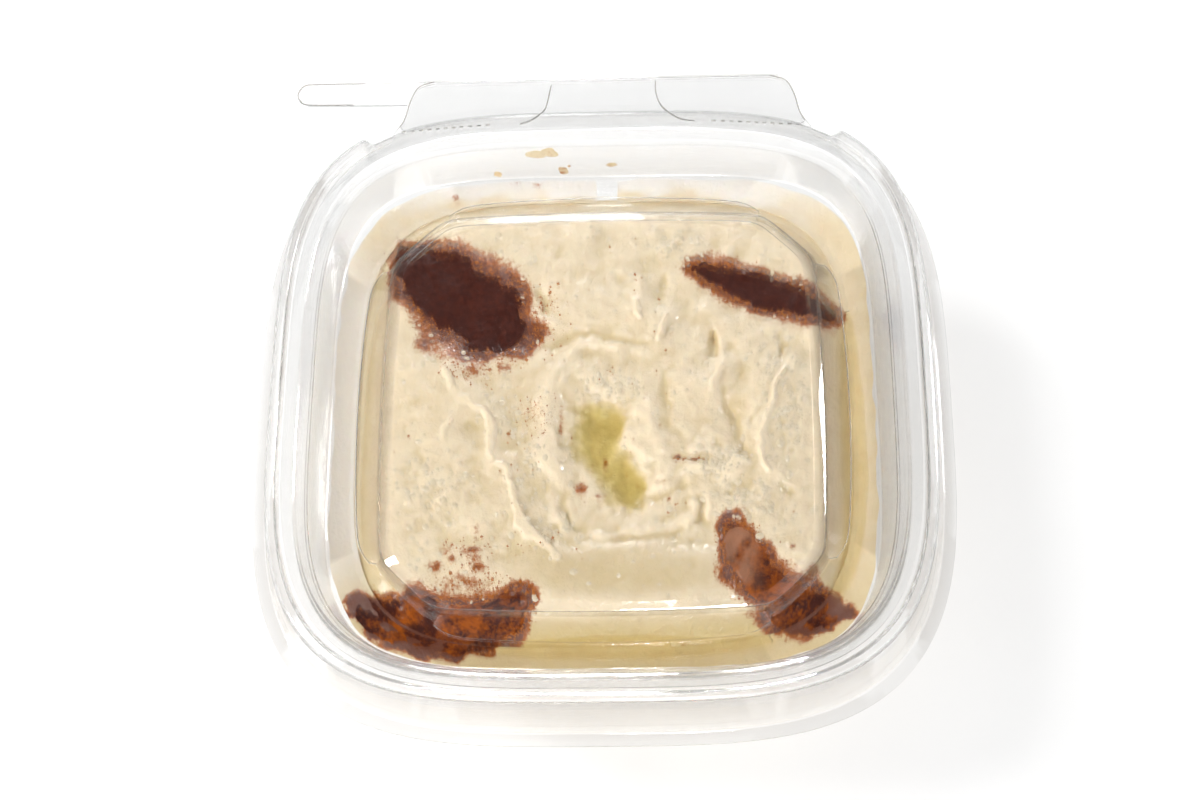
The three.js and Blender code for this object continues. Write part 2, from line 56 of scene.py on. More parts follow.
TUB_HEIGHT = 44.0
SHEET = 0.5
CLEARANCE = 0.35
NESTING = SHEET + CLEARANCE
BEAD_LEVEL = -SHEET / 2
FLANGE_LEVEL = -1.05
LEDGE_LEVEL = FLANGE_LEVEL - NESTING
PANEL_LEVEL = -7.95
MOAT_LEVEL = -11.7
LIP_LEVEL = -12.4
FLOOR_LEVEL = SHEET / 2 - TUB_HEIGHT
NOTCH_X = 46.9
NOTCH_Y = 55.6
LEDGE_MIDDLE_HALF = 58.5
BEAD_FOOT_HALF = 60.5
HINGE_INSET = 0.7
NOTCH_RAMP = 0.012
SWELL_END_ANGLE = np.arctan2(30.5, 44.0)

# Corners of a section: half width, level, form of the outline and radius of the bend.
SHOULDER_TOP = (53.3, MOAT_LEVEL - NESTING, {"power": 4.58}, 0.8)
SHOULDER_FOOT = (48.6, -14.5, {"power": 4.0}, 1.2)
TUB_SECTION = [
    (66.9, LIP_LEVEL, {"power": 3.5}, 0),
    (64.3, -12.2, {"power": 3.55}, 0.8),
    (62.4, BEAD_LEVEL, {"power": 3.69}, 0.7),
    (60.9, BEAD_LEVEL, {"power": 3.72}, 0.6),
    (60.35, LEDGE_LEVEL, {"power": 3.72}, 0.4),
    (57.8, LEDGE_LEVEL, {"power": 3.9}, 0.9),
    (56.05, -4.7, {"power": 4.1}, 1.2),
    SHOULDER_TOP,
    SHOULDER_FOOT,
    (41.8, FLOOR_LEVEL, {"power": 4.3}, 2.6),
    (0.0, FLOOR_LEVEL, {"power": 4.3}, 0),
]


def reach(half, form, angle):
    """Distance from the axis to an outline: half / (|cos|^p + |sin|^p)^(1/p) for a squared oval.
    A square's side swells by bulge * (1 - (place / flat)^2), and by step up to the swell's blunt
    ends, and is cut off by a chamfer."""
    across = np.abs(np.cos(angle))
    along = np.abs(np.sin(angle))
    if "power" in form:
        power = form["power"]
        return half / (across**power + along**power) ** (1 / power)
    steep = np.maximum(across, along)
    place = half * np.minimum(across, along) / steep
    swell = form["bulge"] * np.clip(1 - (place / form["flat"]) ** 2, 0, None)
    swell += form.get("step", 0) * np.clip((form["flat"] - 1.4 - place) / 0.9, 0, 1)
    side = (half + swell) / steep
    chamfer = (half + form["flat"]) / (across + along)
    sharpness = 60
    return (side**-sharpness + chamfer**-sharpness) ** (-1 / sharpness)


def bend_corners(corners, chords):
    """Each corner that has a bend becomes a quadratic curve between two points on its legs."""
    stations = [corners[0][:3]]
    for before, corner, after in zip(corners[:-2], corners[1:-1], corners[2:]):
        half, level, form, bend = corner
        if not bend:
            stations.append((half, level, form))
            continue
        middle = np.array([half, level])
        back = np.array(before[:2]) - middle
        ahead = np.array(after[:2]) - middle
        back /= np.linalg.norm(back)
        ahead /= np.linalg.norm(ahead)
        run = bend / np.tan(np.arccos(back @ ahead) / 2)
        for t in np.linspace(0, 1, chords + 1):
            point = (1 - t) ** 2 * (middle + run * back) + 2 * t * (1 - t) * middle
            point = point + t**2 * (middle + run * ahead)
            stations.append((point[0], point[1], form))
    stations.append(corners[-1][:3])
    return stations


def sheet_face(stations, side):
    """Stations moved off the sheet's middle by side * SHEET / 2, mitred where two legs meet."""
    places = np.array([station[:2] for station in stations])
    legs = places[1:] - places[:-1]
    normals = np.stack([legs[:, 1], -legs[:, 0]], 1)
    normals /= np.linalg.norm(normals, axis=1)[:, None]
    before = np.vstack([normals[:1], normals])
    after = np.vstack([normals, normals[-1:]])
    mitre = before + after
    mitre /= np.linalg.norm(mitre, axis=1)[:, None]
    shift = side * SHEET / 2 / np.sum(mitre * after, axis=1)
    moved = places + mitre * shift[:, None]
    moved[:, 0] = np.where(places[:, 0] > 0, moved[:, 0], 0)
    return [(half, level, form) for (half, level), (_, _, form) in zip(moved, stations)]


def directions(count):
    """Directions round the tub, closer at the corners, with more at the bead's two ends and at the
    blunt ends of the lid's swells."""
    turn = 2 * np.pi * np.arange(count) / count
    angles = turn + 0.1 * np.sin(4 * turn)
    notch = np.arctan2(NOTCH_Y, NOTCH_X)
    ramp = np.linspace(-NOTCH_RAMP, NOTCH_RAMP, 7)
    blunt = SWELL_END_ANGLE + np.linspace(-0.018, 0.018, 5)
    quarters = np.arange(4) * np.pi / 2
    ends = np.concatenate([quarter + side * blunt for quarter in quarters for side in (-1, 1)])
    return np.unique(np.concatenate([angles, notch + ramp, np.pi - notch + ramp, ends % (2 * np.pi)]))


AROUND = directions(260)


def circle_points(radius, angles, level):
    """Points round the axis: radius times cosine and sine, at one level or at a level each."""
    levels = np.broadcast_to(level, angles.shape)
    return np.stack([radius * np.cos(angles), radius * np.sin(angles), levels], 1)


def ring_at(station, angles):
    """Points of one outline at its level, or the one point where it has closed up."""
    half, level, form = station
    if half <= 0:
        return np.array([[0.0, 0.0, level]])
    return circle_points(reach(half, form, angles), angles, level)


def ring_faces(rings):
    """Quads between neighbouring closed rings, and triangles where a ring is one point."""
    faces = []
    first = 0
    for here, there in zip(rings[:-1], rings[1:]):
        following = first + len(here)
        count = max(len(here), len(there))
        j = np.arange(count)
        k = (j + 1) % count
        if len(here) == 1:
            faces += np.stack([np.full(count, first), following + k, following + j], 1).tolist()
        elif len(there) == 1:
            faces += np.stack([first + j, first + k, np.full(count, following)], 1).tolist()
        else:
            faces += np.stack([first + j, first + k, following + k, following + j], 1).tolist()
        first = following
    return faces


def make_piece(name, points, faces, body, replaced=(), crease=35):
    """A mesh object from points in millimetres and levels, smooth but for edges past `crease`."""
    mesh = bpy.data.meshes.new(name)
    placed = np.array(points, float)
    placed[:, 2] += TUB_HEIGHT
    mesh.from_pydata((placed * 0.001).tolist(), [], faces)
    shape = bmesh.new()
    shape.from_mesh(mesh)
    bmesh.ops.recalc_face_normals(shape, faces=shape.faces)
    shape.to_mesh(mesh)
    shape.free()
    mesh.shade_smooth()
    mesh.set_sharp_from_angle(angle=np.radians(crease))
    piece = bpy.data.objects.new(name, mesh)
    bpy.context.scene.collection.objects.link(piece)
    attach(piece, body)
    if replaced:
        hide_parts(*replaced)
    return piece


def tub_ring(station, side, angles):
    """A ring of the tub: behind the hinge the bead is lowered to the ledge and drawn in."""
    half, level, form = station
    if half < LEDGE_MIDDLE_HALF:
        return ring_at(station, angles)
    notch = np.arctan2(NOTCH_Y, NOTCH_X)
    past_end = np.minimum(angles - notch, np.pi - notch - angles)
    inside = np.clip((past_end + NOTCH_RAMP) / (2 * NOTCH_RAMP), 0, 1)
    behind = inside * inside * (3 - 2 * inside)
    lowered = min(level, LEDGE_LEVEL + side * SHEET / 2)
    inset = HINGE_INSET * max(0, 1 - level / LIP_LEVEL) * max(0, half - BEAD_FOOT_HALF)
    radius = reach(half - inset * behind, form, angles)
    return circle_points(radius, angles, level + (lowered - level) * behind)


def new_material(name):
    """A new material, its node tree and its surface shader."""
    material = bpy.data.materials.new(name)
    material.use_nodes = True
    return material, material.node_tree, material.node_tree.nodes["Principled BSDF"]


def set_inputs(node, values):
    """Sets a node's own sockets by name."""
    for name, value in values.items():
        node.inputs[name].default_value = value


def mix_colours(tree, factor, first, second):
    """A colour between two, by a factor. Each may be a colour or another node's output."""
    node = tree.nodes.new("ShaderNodeMix")
    node.data_type = "RGBA"
    tree.links.new(factor, node.inputs["Factor"])
    for socket, colour in ((node.inputs[6], first), (node.inputs[7], second)):
        if isinstance(colour, tuple):
            socket.default_value = (*colour, 1)
        else:
            tree.links.new(colour, socket)
    return node.outputs[2]


def ranged(tree, value, low, high, to_low=0.0, to_high=1.0, eased=False):
    """A value mapped from one range to another, straight or eased, and kept inside it."""
    node = tree.nodes.new("ShaderNodeMapRange")
    if eased:
        node.interpolation_type = "SMOOTHSTEP"
    for socket, number in (("From Min", low), ("From Max", high), ("To Min", to_low), ("To Max", to_high)):
        node.inputs[socket].default_value = number
    tree.links.new(value, node.inputs["Value"])
    return node.outputs["Result"]


def noise(tree, scale, detail, roughness=0.6):
    """Noise on the piece's own place, at this many lumps to the metre."""
    place = tree.nodes.new("ShaderNodeTexCoord")
    node = tree.nodes.new("ShaderNodeTexNoise")
    node.inputs["Scale"].default_value = scale
    node.inputs["Detail"].default_value = detail
    node.inputs["Roughness"].default_value = roughness
    tree.links.new(place.outputs["Object"], node.inputs["Vector"])
    return node.outputs["Fac"]


def stored(tree, name):
    """Reads a number stored at the piece's points."""
    node = tree.nodes.new("ShaderNodeAttribute")
    node.attribute_name = name
    return node.outputs["Fac"]


def bump(tree, height, strength, distance):
    """A surface tilt from a height, `distance` metres high at strength 1."""
    node = tree.nodes.new("ShaderNodeBump")
    node.inputs["Strength"].default_value = strength
    node.inputs["Distance"].default_value = distance
    tree.links.new(height, node.inputs["Height"])
    return node.outputs["Normal"]


def combine(tree, operation, first, second):
    """Two values combined by a sum, a product or the like. Either may be a number."""
    node = tree.nodes.new("ShaderNodeMath")
    node.operation = operation
    for socket, value in ((node.inputs[0], first), (node.inputs[1], second)):
        if isinstance(value, (int, float)):
            socket.default_value = value
        else:
            tree.links.new(value, socket)
    return node.outputs["Value"]


def let_light_through(tree, shader, tint, share):
    """Makes a surface wholly see-through for rays that only carry light to what is behind it, and
    by a share for all others. The tint is a colour or another node's output."""
    through = tree.nodes.new("ShaderNodeBsdfTransparent")
    if isinstance(tint, tuple):
        through.inputs["Color"].default_value = (*tint, 1)
    else:
        tree.links.new(tint, through.inputs["Color"])
    path = tree.nodes.new("ShaderNodeLightPath")
    carries_light = combine(tree, "MAXIMUM", path.outputs["Is Shadow Ray"], path.outputs["Is Diffuse Ray"])
    mix = tree.nodes.new("ShaderNodeMixShader")
    tree.links.new(combine(tree, "MAXIMUM", carries_light, share), mix.inputs["Fac"])
    tree.links.new(shader.outputs["BSDF"], mix.inputs[1])
    tree.links.new(through.outputs["BSDF"], mix.inputs[2])
    tree.links.new(mix.outputs["Shader"], tree.nodes["Material Output"].inputs["Surface"])


CLEAR_SHEET = (0.995, 0.997, 0.997)
SEE_THROUGH_SHEET = (0.96515, 0.96709, 0.96709)
# Colour of the painted shade along the sheets' bends.
PAINTED_BEND_SHADE = (0.30, 0.245, 0.19)
SHEET_THINNESS = 0.22


def clear_plastic(name, scuff_scale, roughness):
    """Clear sheet: a refracting shell, waved by the forming and faintly scuffed, with painted shade
    darkening it along its bends, and so thin that part of the light isn't bent."""
    material, tree, sheet = new_material(name)
    # Painted shade: the sheet is tinted dark brown-grey where the stored shade is high, along its bends.
    shade = mix_colours(tree, stored(tree, "painted_bend_shade"), CLEAR_SHEET, PAINTED_BEND_SHADE)
    worn = ranged(tree, noise(tree, scuff_scale, 5, 0.7), 0.45, 0.8, roughness, roughness * 3)
    tree.links.new(shade, sheet.inputs["Base Color"])
    tree.links.new(worn, sheet.inputs["Roughness"])
    tree.links.new(bump(tree, noise(tree, 55, 1, 0.5), 0.05, 0.002), sheet.inputs["Normal"])
    set_inputs(sheet, {"IOR": 1.57, "Transmission Weight": 1})
    let_light_through(tree, sheet, SEE_THROUGH_SHEET, SHEET_THINNESS)
    return material


def paint(piece, name, values):
    """Stores one number at each point of a piece, for its material to read."""
    layer = piece.data.attributes.new(name, "FLOAT", "POINT")
    filled = np.zeros(len(piece.data.vertices), np.float32)
    filled[:len(values)] = values
    layer.data.foreach_set("value", filled)


def painted_bend_shade(rings, bands):
    """Painted shade at each point, standing for the dark lines at the sheet's bends: in each band of
    levels, between an inner and an outer half width, it is `sides` at left and right and `ends` at front and
    back."""
    points = np.vstack(rings)
    half = np.maximum(np.abs(points[:, 0]), np.abs(points[:, 1]))
    angle = np.arctan2(points[:, 1], points[:, 0])
    sideways = np.clip((np.abs(np.cos(angle)) - np.abs(np.sin(angle))) / 0.3 + 0.5, 0, 1)
    shade = np.zeros(len(points))
    for low, high, inner, outer, sides, ends in bands:
        middle = (low + high) / 2
        near = np.clip(0.5 + ((high - low) / 2 - np.abs(points[:, 2] - middle)) / 0.12, 0, 1)
        near *= (half > inner) & (half < outer)
        shade = np.maximum(shade, near * (ends + (sides - ends) * sideways))
    return shade


# Bands of painted shade on the tub's sheet: lowest and highest level, inner and outer half width, at the
# sides and at the ends.
TUB_SHADES = [
    (-1.2, -0.4, 55.0, 61.0, 0.5, 0.3),
    (-1.6, -0.6, 61.5, 64.0, 0.6, 0.4),
    (-12.6, -11.9, 58.0, 66.0, 0.30, 0.15),
]
tub_stations = bend_corners(TUB_SECTION, 5)
tub_under = [tub_ring(station, -1, AROUND) for station in reversed(sheet_face(tub_stations, -1))]
tub_top = [tub_ring(station, 1, AROUND) for station in sheet_face(tub_stations, 1)]
tub_rings = tub_under + tub_top
tub = make_piece("tub_shell", np.vstack(tub_rings), ring_faces(tub_rings), "base", ["tub"])
paint(tub, "painted_bend_shade", painted_bend_shade(tub_rings, TUB_SHADES))
tub_plastic = clear_plastic("clear_tub_sheet", 900, 0.015)
tub.data.materials.append(tub_plastic)


# ------------------------------------------------------------------ hinge strip, lower leaf
# The back of the rim runs out into a flat strip of the same sheet. It is folded over at its far
# edge to become the lid's half of the strip. This is the half that belongs to the tub.

FOLD_Y = 69.0
ROOT_HALF = 61.5
ROOT_POWER = 3.7
ROOT_Y = 58.4
STRIP_EDGE = np.array([[41.6, 56.8], [39.7, 60.0], [38.6, 64.6], [37.0, 67.8], [34.0, FOLD_Y]])


def through_points(points, steps):
    """A smooth line through points: a Catmull-Rom spline with `steps` chords to a stretch."""
    points = np.array(points, float)
    padded = np.vstack([2 * points[0] - points[1], points, 2 * points[-1] - points[-2]])
    t = np.linspace(0, 1, steps, endpoint=False)[:, None]
    line = []
    for a, b, c, d in zip(padded[:-3], padded[1:-2], padded[2:-1], padded[3:]):
        line.append(0.5 * (2 * b + (c - a) * t + (2 * a - 5 * b + 4 * c - d) * t**2
                           + (3 * b - a - 3 * c + d) * t**3))
    return np.vstack(line + [points[-1:]])


def inside_outline(points, outline):
    """True where a point is inside a closed outline: a ray along +x crosses it an odd number of times."""
    x = points[:, 0][:, None]
    y = points[:, 1][:, None]
    start = outline
    end = np.roll(outline, -1, axis=0)
    crosses = (start[:, 1] > y) != (end[:, 1] > y)
    rise = np.where(end[:, 1] == start[:, 1], 1e-9, end[:, 1] - start[:, 1])
    at = start[:, 0] + (y - start[:, 1]) * (end[:, 0] - start[:, 0]) / rise
    return np.sum(crosses & (x < at), axis=1) % 2 == 1


def flat_triangles(outline, holes):
    """Triangles, as indices into outline + holes, that fill the flat area between them."""
    loops = [outline, *holes]
    points = np.vstack(loops)
    edges = []
    first = 0
    for loop in loops:
        j = np.arange(len(loop))
        edges += np.stack([first + j, first + (j + 1) % len(loop)], 1).tolist()
        first += len(loop)
    made = delaunay_2d_cdt([Vector(point) for point in points], edges, [], 0, 1e-6)
    source = np.array([origins[0] for origins in made[3]])
    triangles = source[np.array(made[2])]
    middles = points[triangles].mean(1)
    kept = inside_outline(middles, outline)
    for hole in holes:
        kept &= ~inside_outline(middles, hole)
    return triangles[kept]


def loop_walls(count, low, high):
    """Quads between two equal closed loops that start at the indices low and high."""
    j = np.arange(count)
    k = (j + 1) % count
    return np.stack([low + j, low + k, high + k, high + j], 1).tolist()


leaf_edge = through_points(STRIP_EDGE, 5)
leaf_edge = leaf_edge[leaf_edge[:, 1] > ROOT_Y]
root_x = np.linspace(-39.6, 39.6, 40)
root_y = (ROOT_HALF**ROOT_POWER - np.abs(root_x) ** ROOT_POWER) ** (1 / ROOT_POWER)
leaf_outline = np.vstack([leaf_edge, (leaf_edge * [-1, 1])[::-1], np.stack([root_x, root_y], 1)])
leaf_fill = flat_triangles(leaf_outline, [])
leaf_count = len(leaf_outline)
leaf_points = np.vstack([
    np.column_stack([leaf_outline, np.full(leaf_count, LEDGE_LEVEL - SHEET / 2)]),
    np.column_stack([leaf_outline, np.full(leaf_count, LEDGE_LEVEL + SHEET / 2)]),
])
leaf_faces = leaf_fill.tolist() + (leaf_fill + leaf_count).tolist() + loop_walls(leaf_count, 0, leaf_count)
leaf = make_piece("tub_hinge_leaf", leaf_points, leaf_faces, "base", ["tub"])
leaf.data.materials.append(tub_plastic)


# ------------------------------------------------------------------ lid
# A second sheet, in one piece with the strip: flange, plug wall that fits inside the tub, a trough
# round a sunken centre panel with chamfered corners and a lens-shaped swell on each side, and the
# pull tab. The strip is perforated and has two curved tear cuts.

PANEL_FOOT = (42.6, MOAT_LEVEL, {"flat": 32.4, "bulge": 2.2, "step": 2.8}, 0.45)
LID_SECTION = [
    (59.7, FLANGE_LEVEL, {"power": 3.7}, 0),
    (57.3, FLANGE_LEVEL, {"power": 3.9}, 0.9),
    (55.3, -4.3, {"power": 4.1}, 1.2),
    (52.7, MOAT_LEVEL, {"power": 4.58}, 0.8),
    PANEL_FOOT,
    (41.9, -10.35, {"flat": 31.9, "bulge": 0.95}, 0.3),
    (41.4, -8.75, {"flat": 31.5, "bulge": 0.9}, 0.4),
    (39.3, PANEL_LEVEL, {"flat": 30.5, "bulge": 0.75}, 0.3),
    (0.0, PANEL_LEVEL, {"flat": 30.5, "bulge": 0.0}, 0),
]
TAB_TIP_X = -61.5
TAB_LOW_Y = 63.6
SLOT_WIDTH = 0.22
TEAR_CUTS = [
    [(-16.3, 58.6), (-13.8, 59.6), (-11.7, 61.5), (-11.0, 63.2), (-10.2, 67.6)],
    [(10.8, 68.2), (10.8, 65.7), (11.7, 62.7), (13.6, 60.5), (16.0, 59.0), (18.6, 58.6)],
]
PERFORATIONS = [
    [(-40.4, 57.2), (-34.0, 57.7), (-28.0, 58.2), (-21.5, 58.6)],
    [(21.5, 58.6), (28.0, 58.2), (34.0, 57.7), (40.4, 57.2)],
]


def left_of(line):
    """A unit step to the left of a line at each of its points."""
    ahead = np.gradient(line, axis=0)
    ahead /= np.linalg.norm(ahead, axis=1)[:, None]
    return np.stack([-ahead[:, 1], ahead[:, 0]], 1)


def slot_outline(line):
    """A narrow slot along a line: the line moved half a slot's width to each side."""
    side = left_of(line) * SLOT_WIDTH / 2
    side[[0, -1]] *= 0.4
    return np.vstack([line + side, (line - side)[::-1]])


perforations = []
for row in PERFORATIONS:
    line = through_points(row, 30)
    perforations += [line[start:start + 5] for start in range(2, len(line) - 6, 8)]
slots = [slot_outline(through_points(cut, 6)) for cut in TEAR_CUTS]
slots += [slot_outline(line) for line in perforations]

strip_right = through_points(STRIP_EDGE, 6)
strip_left = (strip_right * [-1, 1])[::-1]
tab = through_points([
    (-58.6, FOLD_Y), (-60.4, 68.6), (-61.3, 67.4),
    (TAB_TIP_X, 66.2), (-60.9, 64.9), (-59.2, TAB_LOW_Y + 0.35),
], 5)
strip_left_low = strip_left[strip_left[:, 1] < TAB_LOW_Y - 0.3]
strip_angle = np.arctan2(STRIP_EDGE[0, 1], STRIP_EDGE[0, 0] + 0.3)
flange_angles = AROUND[(AROUND < strip_angle) | (AROUND > np.pi - strip_angle)]
flange_edge = ring_at(LID_SECTION[0][:3], flange_angles)[:, :2]
first_after = int(np.sum(flange_angles < np.pi / 2))
lid_outline = np.vstack([
    flange_edge[:first_after],
    strip_right,
    [(-20.0, FOLD_Y), (-48.0, FOLD_Y)],
    tab,
    [(-50.0, TAB_LOW_Y + 0.1), (-39.2, TAB_LOW_Y)],
    strip_left_low,
    flange_edge[first_after:],
])

lid_stations = bend_corners(LID_SECTION, 5)
lid_under = [ring_at(station, AROUND) for station in sheet_face(lid_stations, -1)[1:]]
lid_top = [ring_at(station, AROUND) for station in sheet_face(lid_stations, 1)[1:]]
ring_size = len(AROUND)
flat_fill = flat_triangles(lid_outline, [lid_top[0][:, :2], *slots])
flat_rim = np.vstack([lid_outline, *slots])
outline_count = len(lid_outline)


def flat_points(level):
    """The flat part's own points: its outline and its slots, at one level."""
    return np.column_stack([flat_rim, np.full(len(flat_rim), level)])


lid_points = np.vstack([*lid_under, *lid_top, flat_points(FLANGE_LEVEL - SHEET / 2),
                        flat_points(FLANGE_LEVEL + SHEET / 2)])
shell_size = len(np.vstack(lid_under))


def flat_index(triangles, ring_start, rim_start):
    """Indices for one face of the flat part: its own rim's points, and the plug's first ring."""
    own = np.where(triangles < outline_count, triangles, triangles - ring_size)
    return np.where(
        (triangles >= outline_count) & (triangles < outline_count + ring_size),
        triangles - outline_count + ring_start,
        own + rim_start,
    )


rim_low = 2 * shell_size
rim_high = rim_low + len(flat_rim)
lid_faces = ring_faces(lid_under)
lid_faces += [[index + shell_size for index in face] for face in ring_faces(lid_top)]
lid_faces += flat_index(flat_fill, 0, rim_low).tolist()
lid_faces += flat_index(flat_fill, shell_size, rim_high).tolist()
lid_faces += loop_walls(outline_count, rim_low, rim_high)
slot_start = outline_count
for slot in slots:
    lid_faces += loop_walls(len(slot), rim_low + slot_start, rim_high + slot_start)
    slot_start += len(slot)
lid = make_piece("lid_shell", lid_points, lid_faces, "lid", ["lid"])
# Bands of painted shade on the lid's sheet: lowest and highest level, inner and outer half width, at the
# sides and at the ends.
LID_SHADES = [
    (-10.36, -8.45, 30.0, 43.6, 0.95, 0.12),
    (-8.2, -7.9, 38.0, 41.0, 0.16, 0.10),
    (-12.1, -10.9, 51.0, 54.0, 0.45, 0.25),
    (-2.2, -1.4, 54.0, 58.0, 0.25, 0.15),
]
paint(lid, "painted_bend_shade", painted_bend_shade([lid_points], LID_SHADES))
lid_plastic = clear_plastic("clear_lid_sheet", 1100, 0.012)
lid.data.materials.append(lid_plastic)


# ------------------------------------------------------------------ cut edges of the strip
# The knife that cut the strip and its tear lines has left a fine raised burr of the same plastic
# along both cuts, the perforations, the strip's two ends and the pull tab. The burrs carry painted
# shade: they are tinted dark to stand for the dark lines along the cut edges.

BURR_WIDTH = 0.2
BURR_HEIGHT = 0.09


def burr(line):
    """Rings of four points along a line: a low bar on top of the lid's flange."""
    side = left_of(line) * BURR_WIDTH / 2
    low = np.full(len(line), FLANGE_LEVEL + SHEET / 2 - 0.02)
    corners = [
        np.column_stack([line - side, low]),
        np.column_stack([line + side, low]),
        np.column_stack([line + 0.6 * side, low + BURR_HEIGHT]),
        np.column_stack([line - 0.6 * side, low + BURR_HEIGHT]),
    ]
    bar = list(np.stack(corners, 1))
    return [bar[0].mean(0, keepdims=True), *bar, bar[-1].mean(0, keepdims=True)]


strip_end = through_points(STRIP_EDGE, 8)
strip_end = strip_end[strip_end[:, 1] > 58.0] - [0.12, 0]
tab_end = through_points([
    (-48.0, FOLD_Y - 0.12), (-58.5, FOLD_Y - 0.12), (-60.3, 68.5), (-61.15, 67.3), (TAB_TIP_X + 0.12, 66.2),
    (-60.8, 65.0), (-59.1, TAB_LOW_Y + 0.45), (-50.0, TAB_LOW_Y + 0.22),
], 6)
burr_lines = [through_points(cut, 8) for cut in TEAR_CUTS]
burr_lines += [strip_end, strip_end * [-1, 1], tab_end, *perforations]
burr_rings = []
burr_faces = []
for line in burr_lines:
    rings = burr(line)
    first = sum(len(ring) for ring in burr_rings)
    burr_faces += [[first + i for i in face] for face in ring_faces(rings)]
    burr_rings += rings
burrs_with_painted_shade = make_piece("strip_burrs_painted_shade", np.vstack(burr_rings), burr_faces, "lid")
# Painted shade: the burrs are tinted dark all over, as dark lines along the cuts.
paint(burrs_with_painted_shade, "painted_bend_shade", np.full(sum(len(ring) for ring in burr_rings), 0.85))
burrs_with_painted_shade.data.materials.append(lid_plastic)


# ------------------------------------------------------------------ fold of the hinge strip
# The sheet is bent back on itself along the strip's far edge, in two long stretches either side of
# the perforated middle and short ones in it. Each is a half roll from the tub's leaf to the lid's.

FOLD_STRETCHES = [
    (-36.0, -10.6), (-9.6, -6.4), (-5.4, -2.2), (-1.2, 2.0), (3.0, 6.2), (7.2, 10.2), (11.2, 36.0),
]


def fold_stretch(start, end, steps):
    """A half roll about the fold's axis: radius swept from straight down to straight up."""
    turn = np.linspace(-np.pi / 2, np.pi / 2, steps)
    axis = np.array([FOLD_Y, (LEDGE_LEVEL + FLANGE_LEVEL) / 2])
    spoke = np.stack([np.cos(turn), np.sin(turn)], 1)
    outer = axis + (NESTING + SHEET) / 2 * spoke
    inner = axis + (NESTING - SHEET) / 2 * spoke
    loop = np.vstack([outer, inner[::-1]])
    count = len(loop)
    ends = [np.column_stack([np.full(count, x), loop]) for x in (start, end)]
    faces = loop_walls(count, 0, count)
    for j in range(steps - 1):
        quad = [j, j + 1, count - 2 - j, count - 1 - j]
        faces += [quad, [index + count for index in quad]]
    return np.vstack(ends), faces


fold_points = []
fold_faces = []
for start, end in FOLD_STRETCHES:
    points, faces = fold_stretch(start, end, 13)
    offset = sum(len(part) for part in fold_points)
    fold_points.append(points)
    fold_faces += [[index + offset for index in face] for face in faces]
fold = make_piece("hinge_fold", np.vstack(fold_points), fold_faces, "base")
# It belongs to neither body alone: it bends between the two.
fold.parent = None
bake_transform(fold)
fold.data.materials.append(lid_plastic)


# ------------------------------------------------------------------ hummus
# Chickpea paste spooned into the tub and pressed by the lid. It fills the tub to the shoulder. Its
# top has the spoon's swirl, folds and furrows, with smooth streaks where it touched the lid.

HUMMUS_HALF = 48.45
HUMMUS_FORM = {"power": 4.3}
HUMMUS_MARGIN = -14.3
HUMMUS_TOP = -10.0
HUMMUS_SLOPE = 7.0
HUMMUS_CELLS = 300
LID_TOUCH = PANEL_LEVEL - SHEET / 2 - 0.02

# Broad forms: centre, reach across and along, and how far each stands up or is sunk.
FORMS = [
    (-28, -10, 9, 20, 0.75), (-33, 6, 6, 6, 0.3), (-20, -24, 5, 6, 0.5), (-3, 20, 9, 3.6, 0.55),
    (16.5, 5, 4.2, 12, 0.95), (29, 9, 4.0, 9, 0.6), (36, -6, 5.0, 13, 0.75), (28, -20, 8, 5, 0.55),
    (24, -13.5, 6, 3, 0.55), (4, 27, 2.6, 7, 0.45), (-9, 30, 6, 5, 0.3), (14, 29, 4, 6, 0.35),
    (-12, -4, 3.2, 12, 0.35), (1, 3.4, 4.6, 3.8, 1.0), (9, -6, 2.6, 9, 0.45), (-30, 20, 8, 9, -0.3),
    (33, 33, 6, 5, 0.25), (13, -23, 5, 3, -0.5), (-1, -21.5, 5.5, 3, -0.45), (-38, -20, 5, 8, 0.3),
]
